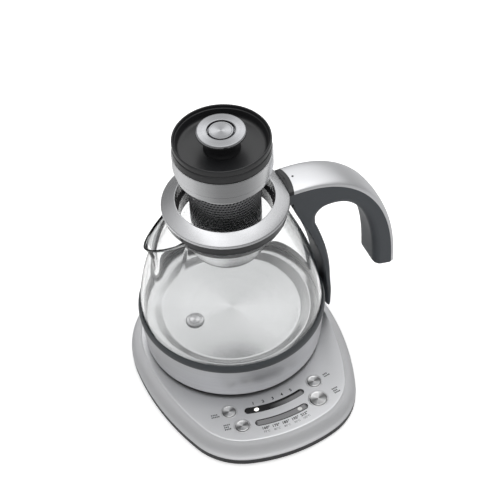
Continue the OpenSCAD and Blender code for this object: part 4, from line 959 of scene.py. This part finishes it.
# lid
lid = {"radius": 37.0, "plug": 33.9, "plugIn": 1.2, "plugFoot": 213.9, "dishFloor": 224.4, "wall": 1.6,
       "post": 14.0, "waist": 1.4, "ring": 18.7, "ringIn": 10.0, "ringHeight": 3.6, "knobTop": 241.6,
       "disc": 9.4, "notch": (3.0, 0.5, 1.6), "notchRound": 0.12, "notchSink": 0.2, "notchUp": 1.5,
       "notchTurn": -12.0}
rimZ, dishZ, plugZ, knobTop = tea["lidRim"], lid["dishFloor"], lid["plugFoot"], lid["knobTop"]
lidR, plugR, postR, ringR = lid["radius"], lid["plug"], lid["post"], lid["ring"]
grooveR = plugR - lid["plugIn"]
turnedPiece("lidDishMoulded", [
    (0, plugZ), (plugR - 0.6, plugZ, 0.3), (plugR, plugZ + 0.6, 0.2), (plugR, plugZ + 2.4),
    (grooveR, plugZ + 2.4), (grooveR, plugZ + 5), (plugR, plugZ + 5), (plugR, bandZ),
    (lidR - 0.4, bandZ, 0.1), (lidR, bandZ + 0.4, 0.3), (lidR, rimZ - 6.3, 0.25),
    (lidR - 0.8, rimZ - 5.8, 0.2), (lidR - 0.8, rimZ - 5.2, 0.2), (lidR, rimZ - 4.7, 0.25),
    (lidR, rimZ - 0.6, 0.5), (lidR - 0.8, rimZ, 0.3), (lidR - 1.5, rimZ - 0.5, 0.4),
    (lidR - 2.0, rimZ - 2.6, 0.4), (lidR - 2.6, rimZ - 2.9, 0.3),
    (lidR - 3.4, dishZ + 1.6, 1.2), (lidR - 5.0, dishZ + 0.3, 1.0), (lidR - 7.5, dishZ, 1.0),
    (postR + 3, dishZ - 0.6), (postR + 0.1, dishZ - 0.6), (postR + 0.1, dishZ - lid["wall"]),
    (0, dishZ - lid["wall"])],
    "lid", lidPlastic, ("lid_dish",), 192)
knobZ, waistR = knobTop - lid["ringHeight"], postR - lid["waist"]
turnedPiece("knobPostMoulded", [
    (0, dishZ - 1.5), (postR, dishZ - 1.5), (postR, dishZ, 0.4), (waistR, dishZ + 2.5, 1.4),
    (waistR, knobZ - 2.5, 1.4), (postR + 1.5, knobZ - 0.1, 0.3), (0, knobZ - 0.1)],
    "lid", lidPlastic, ("knob_post",), 96)
# painted reflection wedges in the knob's colour
knobSteel = turnedSteel(
    "spunKnobSteel", (0.42, 0.425, 0.44), 0.25, lines=6.0, contrast=0.14, sheen=0.35, turn=radians(40),
    aniso=0.7)
ringIn, discR = lid["ringIn"], lid["disc"]
turnedPiece("knobRingSpun", [
    (ringIn, knobZ), (ringR - 0.6, knobZ, 0.3), (ringR, knobZ + 0.6, 0.4), (ringR, knobTop - 1.4, 0.8),
    (ringR - 1.0, knobTop - 0.4, 0.5), (ringIn + 1.3, knobTop, 0.3), (ringIn + 0.6, knobTop - 0.4, 0.2),
    (ringIn + 0.3, knobZ + 1.0), (ringIn, knobZ + 1.0)],
    "lid", knobSteel, ("knob_ring",), 144)
turnedPiece("knobDiscSpun", [
    (0, knobZ + 0.1), (discR, knobZ + 0.1), (discR, knobTop - 0.8, 0.3), (discR - 0.5, knobTop - 0.35, 0.2),
    (discR - 1.2, knobTop - 0.45, 0.15), (discR - 1.5, knobTop - 0.75, 0.15), (0, knobTop - 0.95)],
    "lid", knobSteel, ("knob_disc",), 96)
# dark mark let into the front of the knob's ring
bm = bmesh.new()
addBox(bm, lid["notch"], (0, 0, 0))
bmesh.ops.bevel(bm, geom=list(bm.edges), offset=lid["notchRound"] * mm, segments=2, profile=0.5,
                affect="EDGES", material=-1)
place = Vector((0, lid["notchSink"] - ringR, knobZ + lid["notchUp"]))
bmesh.ops.translate(bm, verts=bm.verts, vec=place * mm)
bmesh.ops.rotate(bm, verts=bm.verts, cent=(0, 0, 0), matrix=aboutZ(lid["notchTurn"]))
finished("knobMark", bm, "lid", markInk)
print("lid done")


# whether a ray comes from the camera, and whether it has passed through glass
def raysOf(tree):
    path = added(tree, "LightPath").outputs
    return path["Is Camera Ray"], path["Is Transmission Ray"]


# floor: pale paper that is brighter where it is seen or looked at through the glass
stage = {"size": 6.0, "paper": 0.92, "dimPaper": 0.8, "seen": 0.5, "through": 0.5, "near": 0.45,
         "far": 1.1, "horizon": 0.38, "overhead": 0.6, "power": 2.5, "skyHigh": 0.9, "skyLow": 0.45,
         "skyFoot": 0.05, "skyTop": 0.5}
bm = bmesh.new()
bmesh.ops.create_grid(bm, x_segments=2, y_segments=2, size=stage["size"])
floorMesh = bpy.data.meshes.new("floor")
bm.to_mesh(floorMesh)
bm.free()
floor = linked("floor", floorMesh)
floorMaterial, tree, shader, place = blankMaterial(
    "paleFloor", Roughness=0.9, Specular_IOR_Level=0.1, Emission_Color=(1, 1, 1, 1))
seen, through = raysOf(tree)
x, y, z = apart(tree, place)
paper = spread(tree, seen, stage["dimPaper"], stage["paper"])
feed(tree, shader.inputs["Base Color"], together(tree, paper, paper, paper))
fading = spread(tree, fromAxis(tree, x, y), stage["through"], 0.0, stage["near"], stage["far"])
level = calc(tree, "MULTIPLY_ADD", seen, stage["seen"], times(tree, through, fading))
feed(tree, shader.inputs["Emission Strength"], level)
floorMesh.materials.append(floorMaterial)

# a studio that is dim at the horizon and bright overhead, and white where it is the background
world = bpy.data.worlds.new("studio")
scene.world = world
world.use_nodes = True
tree = world.node_tree
backdrop = tree.nodes["Background"]
seen, through = raysOf(tree)
x, y, z = apart(tree, added(tree, "TexCoord").outputs["Generated"])
height = calc(tree, "MAXIMUM", z, 0.0)
raisedHeight = calc(tree, "POWER", height, stage["power"])
room = calc(tree, "MULTIPLY_ADD", raisedHeight, stage["overhead"], stage["horizon"])
beyond = spread(tree, height, stage["skyHigh"], stage["skyLow"], stage["skyFoot"], stage["skyTop"])
level = calc(tree, "MULTIPLY_ADD", seen, less(tree, 1.0, room), room)
level = calc(tree, "MULTIPLY_ADD", through, less(tree, beyond, room), level)
feed(tree, backdrop.inputs["Strength"], level)
backdrop.inputs["Color"].default_value = (1, 1, 1, 1)

# lights: place, size, power and aim
lights = {"overheadLight": ((0.0, -0.1, 1.5), 1.2, 3.0, (0, 0, 0.1)),
          "nearLight": ((0.24, 0.24, 0.62), 0.8, 1.5, (0, -0.1, 0))}
for name, (place, size, power, aim) in lights.items():
    lamp = bpy.data.lights.new(name, "AREA")
    lamp.size = size
    lamp.energy = power
    facing = (Vector(aim) - Vector(place)).to_track_quat("-Z", "Y")
    linked(name, lamp).matrix_world = Matrix.Translation(place) @ facing.to_matrix().to_4x4()

# camera: its distance and aim are in millimetres, its focus, frame and shifts in pixels
camera = {"azimuth": -20.0, "elevation": 46.88, "distance": 1258.44, "aim": (0, 0, 106.6),
          "focus": 1600.0, "frame": 500.0, "asideX": -21.5, "asideY": -5.08, "roll": 3.62, "sensor": 36.0,
          "near": 0.05, "far": 50}


# two directions turned together in their own plane
def turnedFrom(one, other, angle):
    return one * cos(angle) + other * sin(angle), other * cos(angle) - one * sin(angle)


azimuth, elevation, roll = (radians(camera[k]) for k in ("azimuth", "elevation", "roll"))
right = Vector((cos(azimuth), sin(azimuth), 0))
forward = Vector((-sin(azimuth) * cos(elevation), cos(azimuth) * cos(elevation), -sin(elevation)))
upward = right.cross(forward)
eye = Vector(camera["aim"]) - forward * camera["distance"]
right, forward = turnedFrom(right, forward, atan2(camera["asideX"], camera["focus"]))
upward, forward = turnedFrom(upward, forward, atan2(camera["asideY"], camera["focus"]))
right, upward = turnedFrom(right, upward, -roll)
lens = bpy.data.cameras.new("photoCamera")
lens.sensor_width = camera["sensor"]
lens.lens = camera["focus"] * camera["sensor"] / camera["frame"]
lens.clip_start, lens.clip_end = camera["near"], camera["far"]
viewer = linked("photoCamera", lens)
viewer.matrix_world = Matrix.Translation(eye * mm) @ Matrix((right, upward, -forward)).transposed().to_4x4()
scene.camera = viewer
scene.view_settings.view_transform = "Standard"
